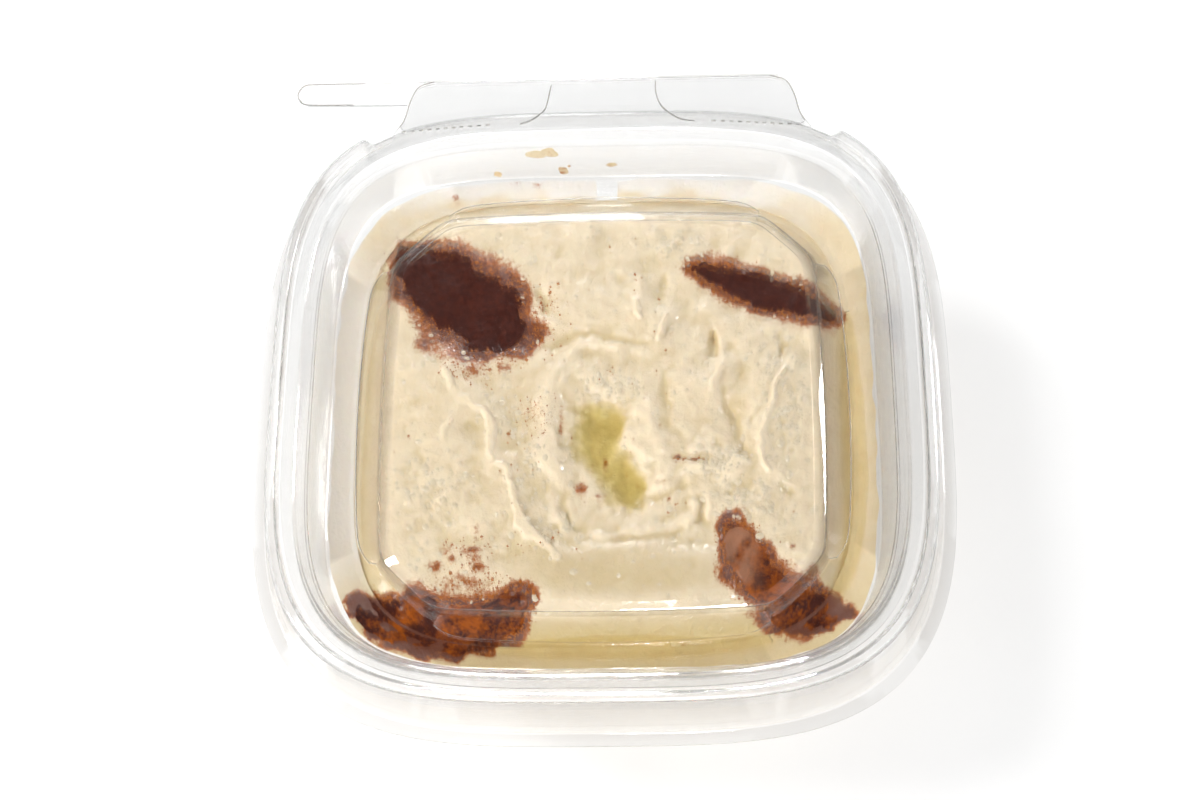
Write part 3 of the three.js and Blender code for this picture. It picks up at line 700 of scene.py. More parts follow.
# Ridges and furrows: how far each stands up or is sunk, its width to the left and to the right of
# its line, and the line's points.
RELIEF = [
    (0.75, 2.2, 1.1, [(-5, -15.5), (-8.5, -13.5), (-10.3, -9), (-10.6, -3), (-10.3, 3), (-8.8, 8), (-5.5, 12),
                      (-1, 13.6), (3, 13.2), (7, 11.8), (9.6, 8.8)]),
    (0.45, 1.2, 0.5, [(-8, -11), (-8.8, -4), (-8.4, 2), (-6.6, 7), (-3, 10)]),
    (0.6, 0.9, 1.5, [(-4.5, -24.8), (0, -26.6), (5, -26.3), (10, -25.2), (14.5, -24.2), (16.8, -22.2)]),
    (0.45, 1.0, 1.0, [(-9.6, -16), (-9.4, -22), (-7.6, -26), (-3, -28.8), (4, -29.4), (11, -28.6),
                      (17.5, -26.8)]),
    (0.6, 0.7, 0.9, [(15.6, -19.6), (17.0, -22), (16.8, -25), (18.4, -26.6)]),
    (0.45, 0.6, 0.6, [(18.4, -18.4), (19.6, -21), (18.9, -24)]),
    (0.6, 1.3, 0.7, [(9, -18), (12, -15.6), (14.6, -13.9), (20, -13), (25, -14.2), (27.6, -13.2)]),
    (0.55, 1.0, 0.6, [(14.8, -9.6), (20, -9.5), (24.6, -11.2), (28, -12)]),
    (0.4, 0.7, 0.7, [(21, -5.5), (23.6, -8), (24.6, -10.4), (22.6, -11)]),
    (0.4, 0.8, 0.6, [(17, -7), (19.6, -8), (22, -7.8)]),
    (0.35, 0.6, 0.5, [(23, -12.4), (26, -12.2), (29, -13)]),
    (0.3, 0.6, 0.4, [(14, 5), (16.2, 0.5), (18, -3.6)]),
    (0.45, 2.0, 1.0, [(6.4, 1), (6, -4), (6.6, -9), (8.6, -12.6)]),
    (0.35, 1.4, 1.0, [(10, 3), (9, -3), (10.5, -8.5), (14, -12)]),
    (0.45, 1.0, 1.2, [(-14, 22), (-11, 18.6), (-7.6, 16.6), (-4, 17), (-2.6, 19.4)]),
    (0.4, 0.9, 0.7, [(6.8, 30), (6.6, 24), (7, 19.6)]),
    (0.4, 1.1, 1.3, [(8.6, 24), (9.6, 18), (11.2, 15.6)]),
    (0.5, 0.4, 2.2, [(36.2, 8), (34.4, 4), (32.4, -1), (30.9, -6), (31, -11), (33.4, -15.4), (37, -18)]),
    (0.3, 0.5, 0.5, [(20.5, 18.8), (22.6, 15.5), (23.6, 12), (23.6, 8.4), (21.6, 5.6)]),
    (-0.7, 1.1, 0.9, [(-15, 14), (-9.6, 12.8), (-6.6, 14.2), (-3.6, 15.4), (1.6, 14.6), (6, 13.2), (10, 13.4),
                      (12.6, 17), (17.6, 21.4)]),
    (-0.8, 1.1, 1.1, [(21.4, 19), (21.8, 13), (22.6, 8), (23, 3.6), (25, -2), (26.6, -8), (28.6, -12.6),
                      (31.6, -16), (35.6, -18.6), (38.4, -21)]),
    (-0.75, 1.2, 0.6, [(34.8, 16), (34.6, 10), (33, 4.6), (31, 0), (29.4, -4), (28.8, -9), (29.8, -14)]),
    (-0.6, 0.6, 0.5, [(9.6, -16.6), (13, -15), (15.6, -12.6)]),
    (-0.6, 0.4, 0.4, [(12.8, -11.6), (14.5, -11), (17, -11.7), (21, -11.5)]),
    (-0.55, 0.8, 0.6, [(5.5, -20), (9, -19.6), (13, -17.4), (17, -15.8)]),
    (-0.55, 0.9, 0.6, [(-7.8, -17), (-7.6, -21), (-5.6, -24.6), (-2, -26)]),
    (-0.5, 0.8, 0.6, [(-9.6, -23.6), (-8, -27), (-5, -29.6), (-2.6, -31)]),
    (-0.5, 0.7, 0.6, [(0, -27.8), (6, -27.6), (12, -26.8), (16, -26)]),
    (-0.6, 0.7, 0.7, [(17.8, -18), (18.2, -21), (17.9, -24), (16, -27.4)]),
    (-0.45, 1.4, 1.2, [(-20, -6), (-18.8, -11), (-16.6, -16), (-13.6, -20.6)]),
    (-0.4, 1.8, 1.4, [(-28, -1), (-25, -4), (-23, -9), (-22, -14)]),
    (-0.4, 1.4, 1.2, [(-32, 12), (-31, 6), (-28.6, 0)]),
    (-0.45, 1.4, 1.2, [(2.6, 30), (4.4, 24), (5, 19)]),
    (-0.4, 1.2, 1.2, [(-13, 27), (-11.6, 23), (-12.6, 18.6)]),
    (-0.45, 1.2, 0.9, [(12, 30), (11, 24), (12.6, 20)]),
    (-0.8, 0.7, 0.6, [(21.5, 16.4), (21.8, 13), (21.5, 9.6)]),
    (-0.35, 1.0, 0.9, [(24.6, 14), (26, 8), (24.8, 3)]),
    (-0.35, 1.0, 0.9, [(12, 8.6), (12.4, 2), (13, -4), (15.6, -8)]),
]
# Streaks where the paste touched the lid and stayed flat against it: line points and half widths.
TOUCHES = [
    ([(-30.5, 8), (-29, 4.4), (-28, 2.4), (-26.4, 1.2)], [0.3, 0.5, 0.6, 0.8]),
    ([(-27, 1.4), (-24.6, 0), (-22.2, -1.6), (-21.2, -4), (-21.4, -7), (-21.4, -9.4), (-20.8, -11)],
     [0.7, 0.3, 0.6, 0.6, 0.35, 0.5, 0.15]),
    ([(-19.8, -12.2), (-18.2, -13), (-17.6, -15.6), (-16.4, -19.4), (-15.6, -22.4), (-14.4, -25.4),
      (-12, -27.6), (-9.6, -29.4), (-8.2, -31.6)], [0.3, 0.4, 0.35, 0.4, 0.7, 1.3, 0.7, 0.4, 0.7]),
    ([(-29.2, -2.8), (-30.4, -5), (-30.4, -7)], [0.25, 0.4, 0.2]),
    ([(6.6, 22.5), (6.7, 20.6), (7.2, 19)], [0.25, 0.35, 0.3]),
    ([(21, 3), (21.6, 5.4), (23.2, 8)], [0.2, 0.25, 0.2]),
    ([(10.8, 14.4), (11.6, 16.8), (12.2, 19)], [0.2, 0.25, 0.2]),
    ([(34.9, 7), (33.2, 4), (32.6, 0), (31, -4), (30, -8), (30.4, -12), (31.4, -14.6)],
     [0.15, 0.2, 0.2, 0.25, 0.3, 0.2, 0.15]),
]
# Grainy places: centre, reach across and along, and how rough.
GRAINS = [
    (27, -20, 8, 4.5, 1.0), (-32, -17, 7, 9, 0.7), (1, 3.5, 6, 3.5, 0.5), (36, -2, 4, 10, 0.8),
    (14, 35, 6, 3, 0.5), (-14, -14, 4, 9, 0.5), (22, -12, 6, 3, 0.7), (-20, 2, 6, 8, 0.4),
    (-10, -26, 7, 4, 0.4), (33, 10, 4, 8, 0.4),
]
# Air bubbles set in the surface: centre, radius and how high the rim stands.
BUBBLES = [
    (28, 33, 4.4, 0.35), (24, -18.5, 1.3, 0.3), (26.6, -20.4, 1.1, 0.3), (29.4, -18.6, 1.4, 0.3),
    (30.5, -21.5, 1.0, 0.3), (23, -21.5, 0.9, 0.25), (21, -19.4, 0.8, 0.25), (15, 35.4, 1.3, 0.3),
    (12, 33.6, 0.9, 0.25), (-34, 33, 1.4, 0.3), (-35, -14, 1.2, 0.25), (-31, -20, 1.0, 0.25),
    (-36.4, -24, 1.1, 0.25), (37, -32, 1.6, 0.3), (40, -38, 1.5, 0.3), (-27, -16, 0.8, 0.2),
    (-33, 0, 0.9, 0.2), (33, -11, 0.9, 0.2), (36, -10, 1.1, 0.25), (11, -32.5, 1.6, 0.15),
]
# The swirl's well and the tail that runs out of it, the lump of paste in it, and the flat place in
# front that the lid has pressed: centre, reach across and along, and how deep or how high.
WELL = (-0.4, -5.5, 6.0, 9.0, 2.5)
WELL_TAIL = (5.4, -16.5, 5.0, 5.6)
WELL_LUMP = (1.0, 3.4, 4.4, 3.6)
PRESSED_FRONT = (4.0, -35.0, 23.0, 6.4, 1.2)


def ease(value):
    """3v^2 - 2v^3 between 0 and 1."""
    v = np.clip(value, 0, 1)
    return v * v * (3 - 2 * v)


def lumps(x, y, size, seed):
    """Smooth random lumps from -1 to 1: values on a lattice of this size, eased between."""
    lattice = np.random.default_rng(seed).uniform(-1, 1, (256, 256))
    gx = x / size + 0.37 * seed
    gy = y / size + 0.61 * seed
    ix = np.floor(gx).astype(int)
    iy = np.floor(gy).astype(int)
    fx = ease(gx - ix)
    fy = ease(gy - iy)
    corner = [[lattice[(ix + i) % 256, (iy + j) % 256] for j in (0, 1)] for i in (0, 1)]
    near = corner[0][0] * (1 - fx) + corner[1][0] * fx
    far = corner[0][1] * (1 - fx) + corner[1][1] * fx
    return near * (1 - fy) + far * fy


def rough_lumps(x, y, size, octaves, seed):
    """Lumps on lumps: each octave is turned, 0.5 times as large and 0.55 times as high."""
    total = np.zeros_like(x)
    height = 1.0
    for octave in range(octaves):
        turn = 0.6 + 1.1 * octave
        u = x * np.cos(turn) - y * np.sin(turn)
        v = x * np.sin(turn) + y * np.cos(turn)
        total += height * lumps(u, v, size, seed + 7 * octave)
        size *= 0.5
        height *= 0.55
    return total


def beside(line, x, y):
    """Signed distance to a line, positive on its left, and how far along it, from 0 to 1."""
    best = np.full(x.shape, 1e9)
    side = np.ones(x.shape)
    along = np.zeros(x.shape)
    stretches = len(line) - 1
    for i, (a, b) in enumerate(zip(line[:-1], line[1:])):
        step = b - a
        t = np.clip(((x - a[0]) * step[0] + (y - a[1]) * step[1]) / (step @ step), 0, 1)
        dx = x - a[0] - t * step[0]
        dy = y - a[1] - t * step[1]
        distance = np.hypot(dx, dy)
        nearer = distance < best
        best = np.where(nearer, distance, best)
        side = np.where(nearer, np.sign(step[0] * dy - step[1] * dx + 1e-12), side)
        along = np.where(nearer, (i + t) / stretches, along)
    return best * side, along


def band(line, half, steps, x, y):
    """Distance to a line that is smoothed through its points, and half the width of the band on it
    at the nearest place."""
    spine = through_points(np.column_stack([line, half]), steps)
    distance, along = beside(spine[:, :2], x, y)
    return np.abs(distance), np.interp(along, np.linspace(0, 1, len(spine)), spine[:, 2])


def bowl(shape, x, y):
    """1 inside an ellipse, easing to 0 at 1.25 times its size."""
    cx, cy, across, along = shape[:4]
    return ease(2 * (1.25 - np.hypot((x - cx) / across, (y - cy) / along)))


def mound(shape, x, y):
    """A bell over an ellipse: e^(-d^2), d measured in its reaches."""
    cx, cy, across, along = shape[:4]
    return np.exp(-((x - cx) / across) ** 2 - ((y - cy) / along) ** 2)


def food_half(x, y):
    """Half width of the margin-shaped oval through a point."""
    return HUMMUS_HALF * np.hypot(x, y) / reach(HUMMUS_HALF, HUMMUS_FORM, np.arctan2(y, x))


# Patches of paprika: the points of each one's spine, and half its width at each of them.
PAPRIKA = {
    "paprika_back_left": (
        [(-41, 38), (-38, 33.5), (-33, 28.5), (-28, 23.5), (-21, 18.5), (-16, 15.5)],
        [1.2, 4.6, 7.2, 8.0, 7.6, 3.6],
    ),
    "paprika_back_right": (
        [(17.5, 30), (22.5, 28.6), (28, 25.6), (34, 23.5), (40, 21.5), (45.5, 20.3)],
        [1.2, 3.2, 3.6, 3.8, 3.4, 1.6],
    ),
    "paprika_front_left": (
        [(-45.5, -38.8), (-40, -42), (-33, -44), (-25, -44.5), (-18.5, -42), (-14, -39)],
        [2.6, 4.8, 5.4, 4.8, 4.2, 1.8],
    ),
    "paprika_front_right": (
        [(24.5, -25.6), (26.5, -30.5), (29, -35.4), (34, -39.5), (39, -41), (43.6, -41)],
        [2.0, 4.0, 4.4, 4.4, 4.8, 3.0],
    ),
}
PAPRIKA_HOLLOW = 0.5


def patch_cover(x, y):
    """How far inside a paprika patch a point is: 1 on its spine, 0 at its rim, less outside."""
    best = np.full(x.shape, -9.0)
    for line, half in PAPRIKA.values():
        distance, width = band(line, half, 5, x, y)
        best = np.maximum(best, (width - distance) / np.maximum(width, 3.5))
    return best


lid_underside = [station for station in sheet_face(lid_stations, -1) if station[1] < PANEL_LEVEL + 0.5]
trough_bottom = int(np.argmin([station[1] for station in lid_underside]))
lid_underside = lid_underside[trough_bottom:]


def ceiling(x, y):
    """The highest level that food may have: the lid's underside, between its outlines from the
    trough to the panel, taken a little further out, less a hair."""
    radius = np.hypot(x, y) + 0.35
    angle = np.arctan2(y, x)
    level = np.full(x.shape, lid_underside[0][1])
    outer = reach(lid_underside[0][0], lid_underside[0][2], angle)
    for before, after in zip(lid_underside[:-1], lid_underside[1:]):
        inner = reach(after[0], after[2], angle) if after[0] > 0 else np.zeros_like(angle)
        part = np.clip((outer - radius) / np.maximum(outer - inner, 1e-6), 0, 1)
        level = np.where(radius < outer, before[1] + (after[1] - before[1]) * part, level)
        outer = inner
    return level - 0.03


def hummus_level(x, y):
    """Level of the paste: broad forms + ridges and furrows + lumps, flattened where it meets the
    lid, hollowed under the spice and falling to the margin."""
    wander_x = x + 0.7 * lumps(x, y, 4.1, 3) + 0.3 * lumps(x, y, 1.5, 4)
    wander_y = y + 0.7 * lumps(x, y, 4.1, 5) + 0.3 * lumps(x, y, 1.5, 6)
    rise = 0.46 * rough_lumps(x, y, 8.5, 5, 11)
    for shape in FORMS:
        rise += shape[4] * mound(shape, wander_x, wander_y)
    uneven = 0.85 + 0.4 * lumps(x, y, 3.6, 14)
    for height, left, right, line in RELIEF:
        distance, along = beside(through_points(line, 5), wander_x, wander_y)
        width = np.where(distance > 0, left, right)
        taper = ease(np.minimum(along, 1 - along) * 5 + 0.1) * uneven
        sharp = 1.05 * np.exp(-(distance / width) ** 2)
        broad = 0.35 * np.exp(-(distance / 2.8) ** 2)
        rise += height * taper * (sharp + broad)
    grain = 0.25 + sum(shape[4] * mound(shape, x, y) for shape in GRAINS)
    turned = 0.8 * x + 0.6 * y
    pebbles = lumps(turned, 0.8 * y - 0.6 * x, 1.5, 31) + 0.6 * lumps(x, y, 2.1, 33)
    pebbles += 0.45 * lumps(0.5 * x - 0.87 * y, 0.87 * x + 0.5 * y, 1.0, 35)
    smoothed = bowl(PRESSED_FRONT, x, y)
    rise += 0.24 * grain * pebbles * (1 - 0.8 * smoothed)
    for cx, cy, radius, height in BUBBLES:
        distance = np.hypot(x - cx, y - cy)
        rise += 0.7 * height * np.exp(-((distance - radius * 0.8) / (0.25 + 0.12 * radius)) ** 2)
        rise -= 0.5 * height * np.exp(-(distance / (radius * 0.6)) ** 2)
    rise = np.where(rise > 1.2, 1.2 + 0.4 * (rise - 1.2), rise)
    rise = rise * (1 - 0.75 * smoothed) + PRESSED_FRONT[4] * smoothed
    lump = mound(WELL_LUMP, x, y)
    hollow = mound(WELL, wander_x, wander_y) + 0.85 * mound(WELL_TAIL, wander_x, wander_y)
    hollow += 0.12 * rough_lumps(x, y, 3.2, 3, 37) - 0.05
    rise -= WELL[4] * ease(np.minimum(hollow, 1)) * (1 - 0.6 * lump)
    level = HUMMUS_TOP + rise
    frayed_x = x + 0.3 * lumps(x, y, 1.4, 8)
    frayed_y = y + 0.3 * lumps(x, y, 1.4, 9)
    for line, half in TOUCHES:
        distance, width = band(line, half, 6, frayed_x, frayed_y)
        level += 0.75 * (LID_TOUCH - 0.25 - level) * np.exp(-(distance / 3.4) ** 2)
        pressed = ease((width + 0.45 - distance) / 0.6)
        level = np.maximum(level, level + (LID_TOUCH + 0.05 - level) * pressed)
    hollow = ease(1.4 * (patch_cover(x, y) + 0.3)) * PAPRIKA_HOLLOW
    level = np.minimum(level, ceiling(x, y)) - hollow
    inwards = ease((HUMMUS_HALF - food_half(x, y)) / HUMMUS_SLOPE)
    return HUMMUS_MARGIN + (level - HUMMUS_MARGIN) * inwards


def oval_net(cells, half, form):
    """A square net of points drawn out to an oval: every ring of cells keeps its share of it."""
    u, v = np.meshgrid(np.linspace(-1, 1, cells + 1), np.linspace(-1, 1, cells + 1))
    ring = np.maximum(np.abs(u), np.abs(v))
    angle = np.arctan2(v, u)
    scale = ring * reach(half, form, angle) / np.maximum(np.hypot(u, v), 1e-9)
    return (u * scale).ravel(), (v * scale).ravel()


net_x, net_y = oval_net(HUMMUS_CELLS, HUMMUS_HALF, HUMMUS_FORM)
net_z = hummus_level(net_x, net_y)
row = HUMMUS_CELLS + 1
corner = (np.arange(HUMMUS_CELLS)[:, None] * row + np.arange(HUMMUS_CELLS)).ravel()
hummus_faces = np.stack([corner, corner + 1, corner + row + 1, corner + row], 1).tolist()
step = np.arange(HUMMUS_CELLS)
rim = np.concatenate([step, step * row + HUMMUS_CELLS, HUMMUS_CELLS * row + HUMMUS_CELLS - step,
                      (HUMMUS_CELLS - step) * row])
rim_angle = np.arctan2(net_y[rim], net_x[rim])
foot_of_shoulder = [i for i, station in enumerate(tub_stations) if station[2] is SHOULDER_FOOT[2]][-1]
wall_stations = sheet_face(tub_stations, 0.45)[foot_of_shoulder:]
wall_rings = [ring_at(station, rim_angle) for station in wall_stations]
hummus_points = np.vstack([np.stack([net_x, net_y, net_z], 1), *wall_rings])
first = row * row
loops = [rim] + [first + len(rim) * i + np.arange(len(rim)) for i in range(len(wall_rings) - 1)]
for upper, lower in zip(loops[:-1], loops[1:]):
    hummus_faces += np.stack([upper, np.roll(upper, -1), np.roll(lower, -1), lower], 1).tolist()
last = np.full(len(rim), len(hummus_points) - 1)
hummus_faces += np.stack([loops[-1], np.roll(loops[-1], -1), last], 1).tolist()
hummus = make_piece("hummus_spooned", hummus_points, hummus_faces, "base", ["hummus"], crease=80)


def soak(level, cells, reach_cells):
    """How deep a point lies: the mean level this many cells round it, less its own level."""
    net = level.reshape(cells + 1, cells + 1)
    padded = np.pad(net, reach_cells, mode="edge")
    total = np.cumsum(np.cumsum(np.pad(padded, ((1, 0), (1, 0))), 0), 1)
    span = 2 * reach_cells + 1
    around = total[span:, span:] - total[:-span, span:] - total[span:, :-span] + total[:-span, :-span]
    return (around / span**2 - net).ravel()


# Small stains of spice on the paste: centre, reach across and along, and strength.
STAINS = [
    (-29, -29.3, 1.5, 1.2, 0.5), (-24.5, -29.5, 2.4, 1.0, 0.5), (-23.8, -31.3, 1.3, 1.0, 0.5),
    (-28, -31, 1.3, 1.0, 0.5), (-31, -32.7, 1.5, 1.2, 0.55), (-23, -33, 1.6, 1.2, 0.5),
    (-23.4, -26, 0.8, 2.8, 0.28), (-16, 27, 1.6, 1.4, 0.45), (14.4, -11, 0.6, 0.5, 1.0),
    (17.5, -11.5, 2.6, 0.3, 0.5), (-4, -17, 1.2, 1.3, 0.5), (12.5, -19.4, 0.5, 0.5, 0.55),
    (12.4, -22, 0.4, 0.4, 0.45), (35.5, -29.5, 0.5, 0.5, 0.55), (23.4, -22, 0.4, 0.4, 0.5),
    (-25, 8, 2.2, 1.6, 0.42), (-19, 8.5, 1.6, 1.4, 0.42), (32, -49, 4.0, 1.0, 0.5),
    (12, -49.5, 7.0, 0.8, 0.35), (11, -4.4, 0.4, 0.4, 0.45), (35.4, -15.3, 0.4, 0.4, 0.4),
    (-26, -36, 6, 2.2, 0.36), (-12.6, -1.4, 3.6, 3.4, 0.2), (0.5, -11.5, 0.7, 1.6, 0.42),
    (-8, -4, 0.5, 5.0, 0.34), (-0.4, -18.6, 1.4, 0.5, 0.42),
]
ragged_cover = patch_cover(net_x, net_y) + 0.26 * rough_lumps(net_x, net_y, 4.2, 5, 51)
spice = ease((ragged_cover + 0.72) / 0.95)
speckle = 1 + 0.5 * lumps(net_x, net_y, 0.9, 57)
for stain in STAINS:
    spice = np.maximum(spice, stain[4] * mound(stain, net_x, net_y) * speckle)
margin = HUMMUS_HALF - food_half(net_x, net_y)
front_oil = ease((8.5 - margin) / 6) * ease((-np.abs(net_x + 2) + 54) / 20) * ease((-net_y - 33) / 7)
right_oil = ease((4.5 - margin) / 4) * ease((net_x - 40) / 4) * 0.45
back_oil = ease((9.0 - margin) / 6) * ease((net_y - 34) / 5) * 0.35
left_oil = ease((5.0 - margin) / 3) * ease((-net_x - 40) / 3) * 0.4
hollow = 0.9 * soak(net_z, HUMMUS_CELLS, 5) + 0.6 * soak(net_z, HUMMUS_CELLS, 14)
hollow *= 0.4 + 0.6 * ease((margin - 1) / 6)
hollow += 0.42 * bowl(PRESSED_FRONT, net_x, net_y)
paint(hummus, "soaked", np.clip(hollow, -1, 1))
paint(hummus, "margin_oil", np.clip(front_oil + right_oil + back_oil + left_oil, 0, 1))
paint(hummus, "spice", np.clip(spice, 0, 1))

PALE_PASTE = ((0.745, 0.600, 0.400), (0.81, 0.675, 0.475))
SKIN_FLECK = (0.66, 0.46, 0.25)
WET_HOLLOW = (0.60, 0.46, 0.245)
DRY_RIDGE = (0.86, 0.71, 0.50)
OILY_MARGIN = (0.62, 0.47, 0.20)
WIPED_FILM = (0.90, 0.84, 0.78)
RUST_TO_MAROON = ((0.36, 0.088, 0.003), (0.10, 0.016, 0.003))

paste, tree, surface = new_material("hummus_paste")
pale = mix_colours(tree, ranged(tree, noise(tree, 230, 5), 0.36, 0.64), *PALE_PASTE)
fleck = mix_colours(tree, ranged(tree, noise(tree, 1500, 3), 0.60, 0.72, 0, 0.3), pale, SKIN_FLECK)
wet = mix_colours(tree, ranged(tree, stored(tree, "soaked"), 0.0, 0.5, 0, 0.8), fleck, WET_HOLLOW)
raised = mix_colours(tree, ranged(tree, stored(tree, "soaked"), -0.05, -0.5, 0, 0.9), wet, DRY_RIDGE)
oily = mix_colours(tree, ranged(tree, stored(tree, "margin_oil"), 0, 1, 0, 0.85), raised, OILY_MARGIN)
thinned = mix_colours(tree, stored(tree, "thinned"), oily, WIPED_FILM)
grain = combine(tree, "MULTIPLY", noise(tree, 1500, 4), 1.1)
grainy_spice = combine(tree, "ADD", stored(tree, "spice"), grain)
rust = mix_colours(tree, ranged(tree, grainy_spice, 0.98, 1.32), *RUST_TO_MAROON)
spread_spice = combine(tree, "MULTIPLY", stored(tree, "spice"), 1.7)
broken = combine(tree, "ADD", spread_spice, combine(tree, "MULTIPLY", noise(tree, 1700, 4), 1.5))
dusted = mix_colours(tree, ranged(tree, broken, 1.02, 1.5, 0, 0.97), thinned, rust)
blisters = ranged(tree, noise(tree, 700, 2), 0.52, 0.80)
tree.links.new(dusted, surface.inputs["Base Color"])
tree.links.new(bump(tree, noise(tree, 700, 5), 1.0, 0.0004), surface.inputs["Normal"])
tree.links.new(bump(tree, blisters, 1.0, 0.00011), surface.inputs["Coat Normal"])
set_inputs(surface, {
    "Roughness": 0.45,
    "IOR": 1.45,
    "Specular IOR Level": 0.25,
    "Coat Weight": 1.0,
    "Coat IOR": 1.55,
    "Coat Roughness": 0.05,
    "Subsurface Weight": 0.15,
    "Subsurface Radius": (1.0, 0.6, 0.3),
    "Subsurface Scale": 0.0015,
})
hummus.data.materials.append(paste)


# ------------------------------------------------------------------ wet beads
# Small blisters and burst air bubbles of wet paste, thickest in the grainy places: shallow domes
# sunk a little into the surface. They carry the bright glints.

SCATTERED_BEADS = 260
BEADS_IN_GRAIN = 110
BEAD_SIDES = 8

bead_draw = np.random.default_rng(515)
bead_x = [bead_draw.uniform(-40, 40, SCATTERED_BEADS)]
bead_y = [bead_draw.uniform(-40, 40, SCATTERED_BEADS)]
for x, y, across, along, strength in GRAINS:
    count = int(BEADS_IN_GRAIN * strength)
    bead_x.append(x + across * bead_draw.normal(0, 0.55, count))
    bead_y.append(y + along * bead_draw.normal(0, 0.55, count))
bead_x = np.concatenate(bead_x)
bead_y = np.concatenate(bead_y)
clear_of_spice = (patch_cover(bead_x, bead_y) < 0.1) & (food_half(bead_x, bead_y) < 41)
bead_x = bead_x[clear_of_spice]
bead_y = bead_y[clear_of_spice]
bead_count = len(bead_x)
bead_radius = np.clip(bead_draw.lognormal(-0.85, 0.32, bead_count), 0.25, 0.85)[:, None]
# The dome: a point below, a ring just under the surface, a smaller one above it, and a top.
turn = 2 * np.pi * np.arange(BEAD_SIDES) / BEAD_SIDES
dome_part = np.repeat([0, 1, 0.62, 0], [1, BEAD_SIDES, BEAD_SIDES, 1])
dome_turn = np.concatenate([[0], turn, turn, [0]])
dome_x = dome_part * np.cos(dome_turn)
dome_y = dome_part * np.sin(dome_turn)
dome_z = np.repeat([-0.25, -0.06, 0.14, 0.24], [1, BEAD_SIDES, BEAD_SIDES, 1])
bead_z = np.minimum(hummus_level(bead_x, bead_y), ceiling(bead_x, bead_y) - 0.16)[:, None]
stretch = bead_draw.uniform(0.75, 1.3, (bead_count, 1))
bead_points = np.stack([
    bead_x[:, None] + bead_radius * stretch * dome_x,
    bead_y[:, None] + bead_radius / stretch * dome_y,
    bead_z + bead_radius * dome_z,
], -1).reshape(-1, 3)
dome_faces = ring_faces(np.split(dome_x, [1, 1 + BEAD_SIDES, 1 + 2 * BEAD_SIDES]))
bead_starts = len(dome_x) * np.arange(bead_count)
bead_faces = [[start + i for i in face] for start in bead_starts.tolist() for face in dome_faces]
beads_piece = make_piece("wet_beads", bead_points, bead_faces, "base", crease=80)
wet_paste = paste.copy()
wet_paste.name = "wet_bead_paste"
set_inputs(wet_paste.node_tree.nodes["Principled BSDF"], {"Coat IOR": 2.2, "Coat Roughness": 0.03})
beads_piece.data.materials.append(wet_paste)


# ------------------------------------------------------------------ film on the shoulder
# Paste and oil that the lid has pressed out over the tub's sloping shoulder: a thin smeared film,
# beige at the left, yellow with oil in front, olive at the right and all but wiped off at the back.

FILM_SPAN = (1.60, 7.80)
FILM_INNER = 47.7
FILM_OUTER = 52.55
FILM_STAINS = [(-17.8, 51.9, 1.3, 0.6, 0.3), (-13.5, 51.5, 1.1, 0.7, 0.36), (-30.0, 49.0, 0.7, 0.7, 0.55)]


def up_shoulder(half):
    """How far up the tub's sloping shoulder a half width lies, from 0 to 1, and the level there."""
    share = np.clip((half - SHOULDER_FOOT[0]) / (SHOULDER_TOP[0] - SHOULDER_FOOT[0]), 0, 1)
    return share, SHOULDER_FOOT[1] + (SHOULDER_TOP[1] - SHOULDER_FOOT[1]) * share + SHEET / 2


def slab(x, y, bottom, top):
    """Points and faces of a closed slab between two levels over a net of places."""
    rows, columns = x.shape
    index = np.arange(rows * columns).reshape(rows, columns)
    upper = rows * columns
    a, b, c, d = index[:-1, :-1], index[:-1, 1:], index[1:, 1:], index[1:, :-1]
    quads = np.stack([a, b, c, d], -1).reshape(-1, 4)
    edge = np.concatenate([index[0, :-1], index[:-1, -1], index[-1, :0:-1], index[:0:-1, 0]])
    following = np.roll(edge, -1)
    walls = np.stack([edge, following, following + upper, edge + upper], 1)
    points = np.vstack([np.stack([x, y, level], -1).reshape(-1, 3) for level in (bottom, top)])
    return points, quads.tolist() + (quads + upper).tolist() + walls.tolist()


def paint_slab(piece, name, values):
    """Stores a net's numbers at the points of both faces of its slab."""
    paint(piece, name, np.tile(values.ravel(), 2))


film_turn = np.linspace(*FILM_SPAN, 640)[:, None]
film_back = ease((np.sin(film_turn) - 0.62) / 0.3)
film_share = 0.93 - 0.07 * lumps(film_turn * 14, film_turn * 0, 1.0, 41)
film_part = np.linspace(0, 1, 16)[None, :] * np.clip(film_share, 0.12, 0.99)
film_foot = reach(FILM_INNER, SHOULDER_FOOT[2], film_turn)
film_top = reach(FILM_OUTER, SHOULDER_TOP[2], film_turn)
film_radius = film_foot + (film_top - film_foot) * film_part
_, film_level = up_shoulder(FILM_INNER + (FILM_OUTER - FILM_INNER) * film_part)
film_ends = ease((film_turn - FILM_SPAN[0]) / 0.12) * ease((FILM_SPAN[1] - film_turn) / 0.12)
film_x = film_radius * np.cos(film_turn)
film_y = film_radius * np.sin(film_turn)
film_lumps = 0.12 * rough_lumps(film_x, film_y, 3.0, 3, 43)
film_depth = 0.5 * (1 - film_part) ** 0.7 + 0.10 + film_lumps * (1 - film_part)
film_depth = np.clip(film_depth, 0.05, None) * film_ends + 0.015
film_points, film_faces = slab(film_x, film_y, film_level - 0.03, film_level + film_depth)
film = make_piece("hummus_film", film_points, film_faces, "base")
film_angle = film_turn + 0 * film_part
film_front = ease((np.cos(film_angle + np.pi / 2) - 0.45) / 0.35)
film_right = ease((np.cos(film_angle) - 0.5) / 0.3)
paint_slab(film, "margin_oil", np.clip(0.7 * film_front + 0.1 * film_right, 0, 1))
film_ragged = rough_lumps(film_angle * 9, film_part * 2, 1.0, 3, 42)
film_thin = film_back * ease(1.2 * film_part + 0.5 * film_ragged + 0.1)
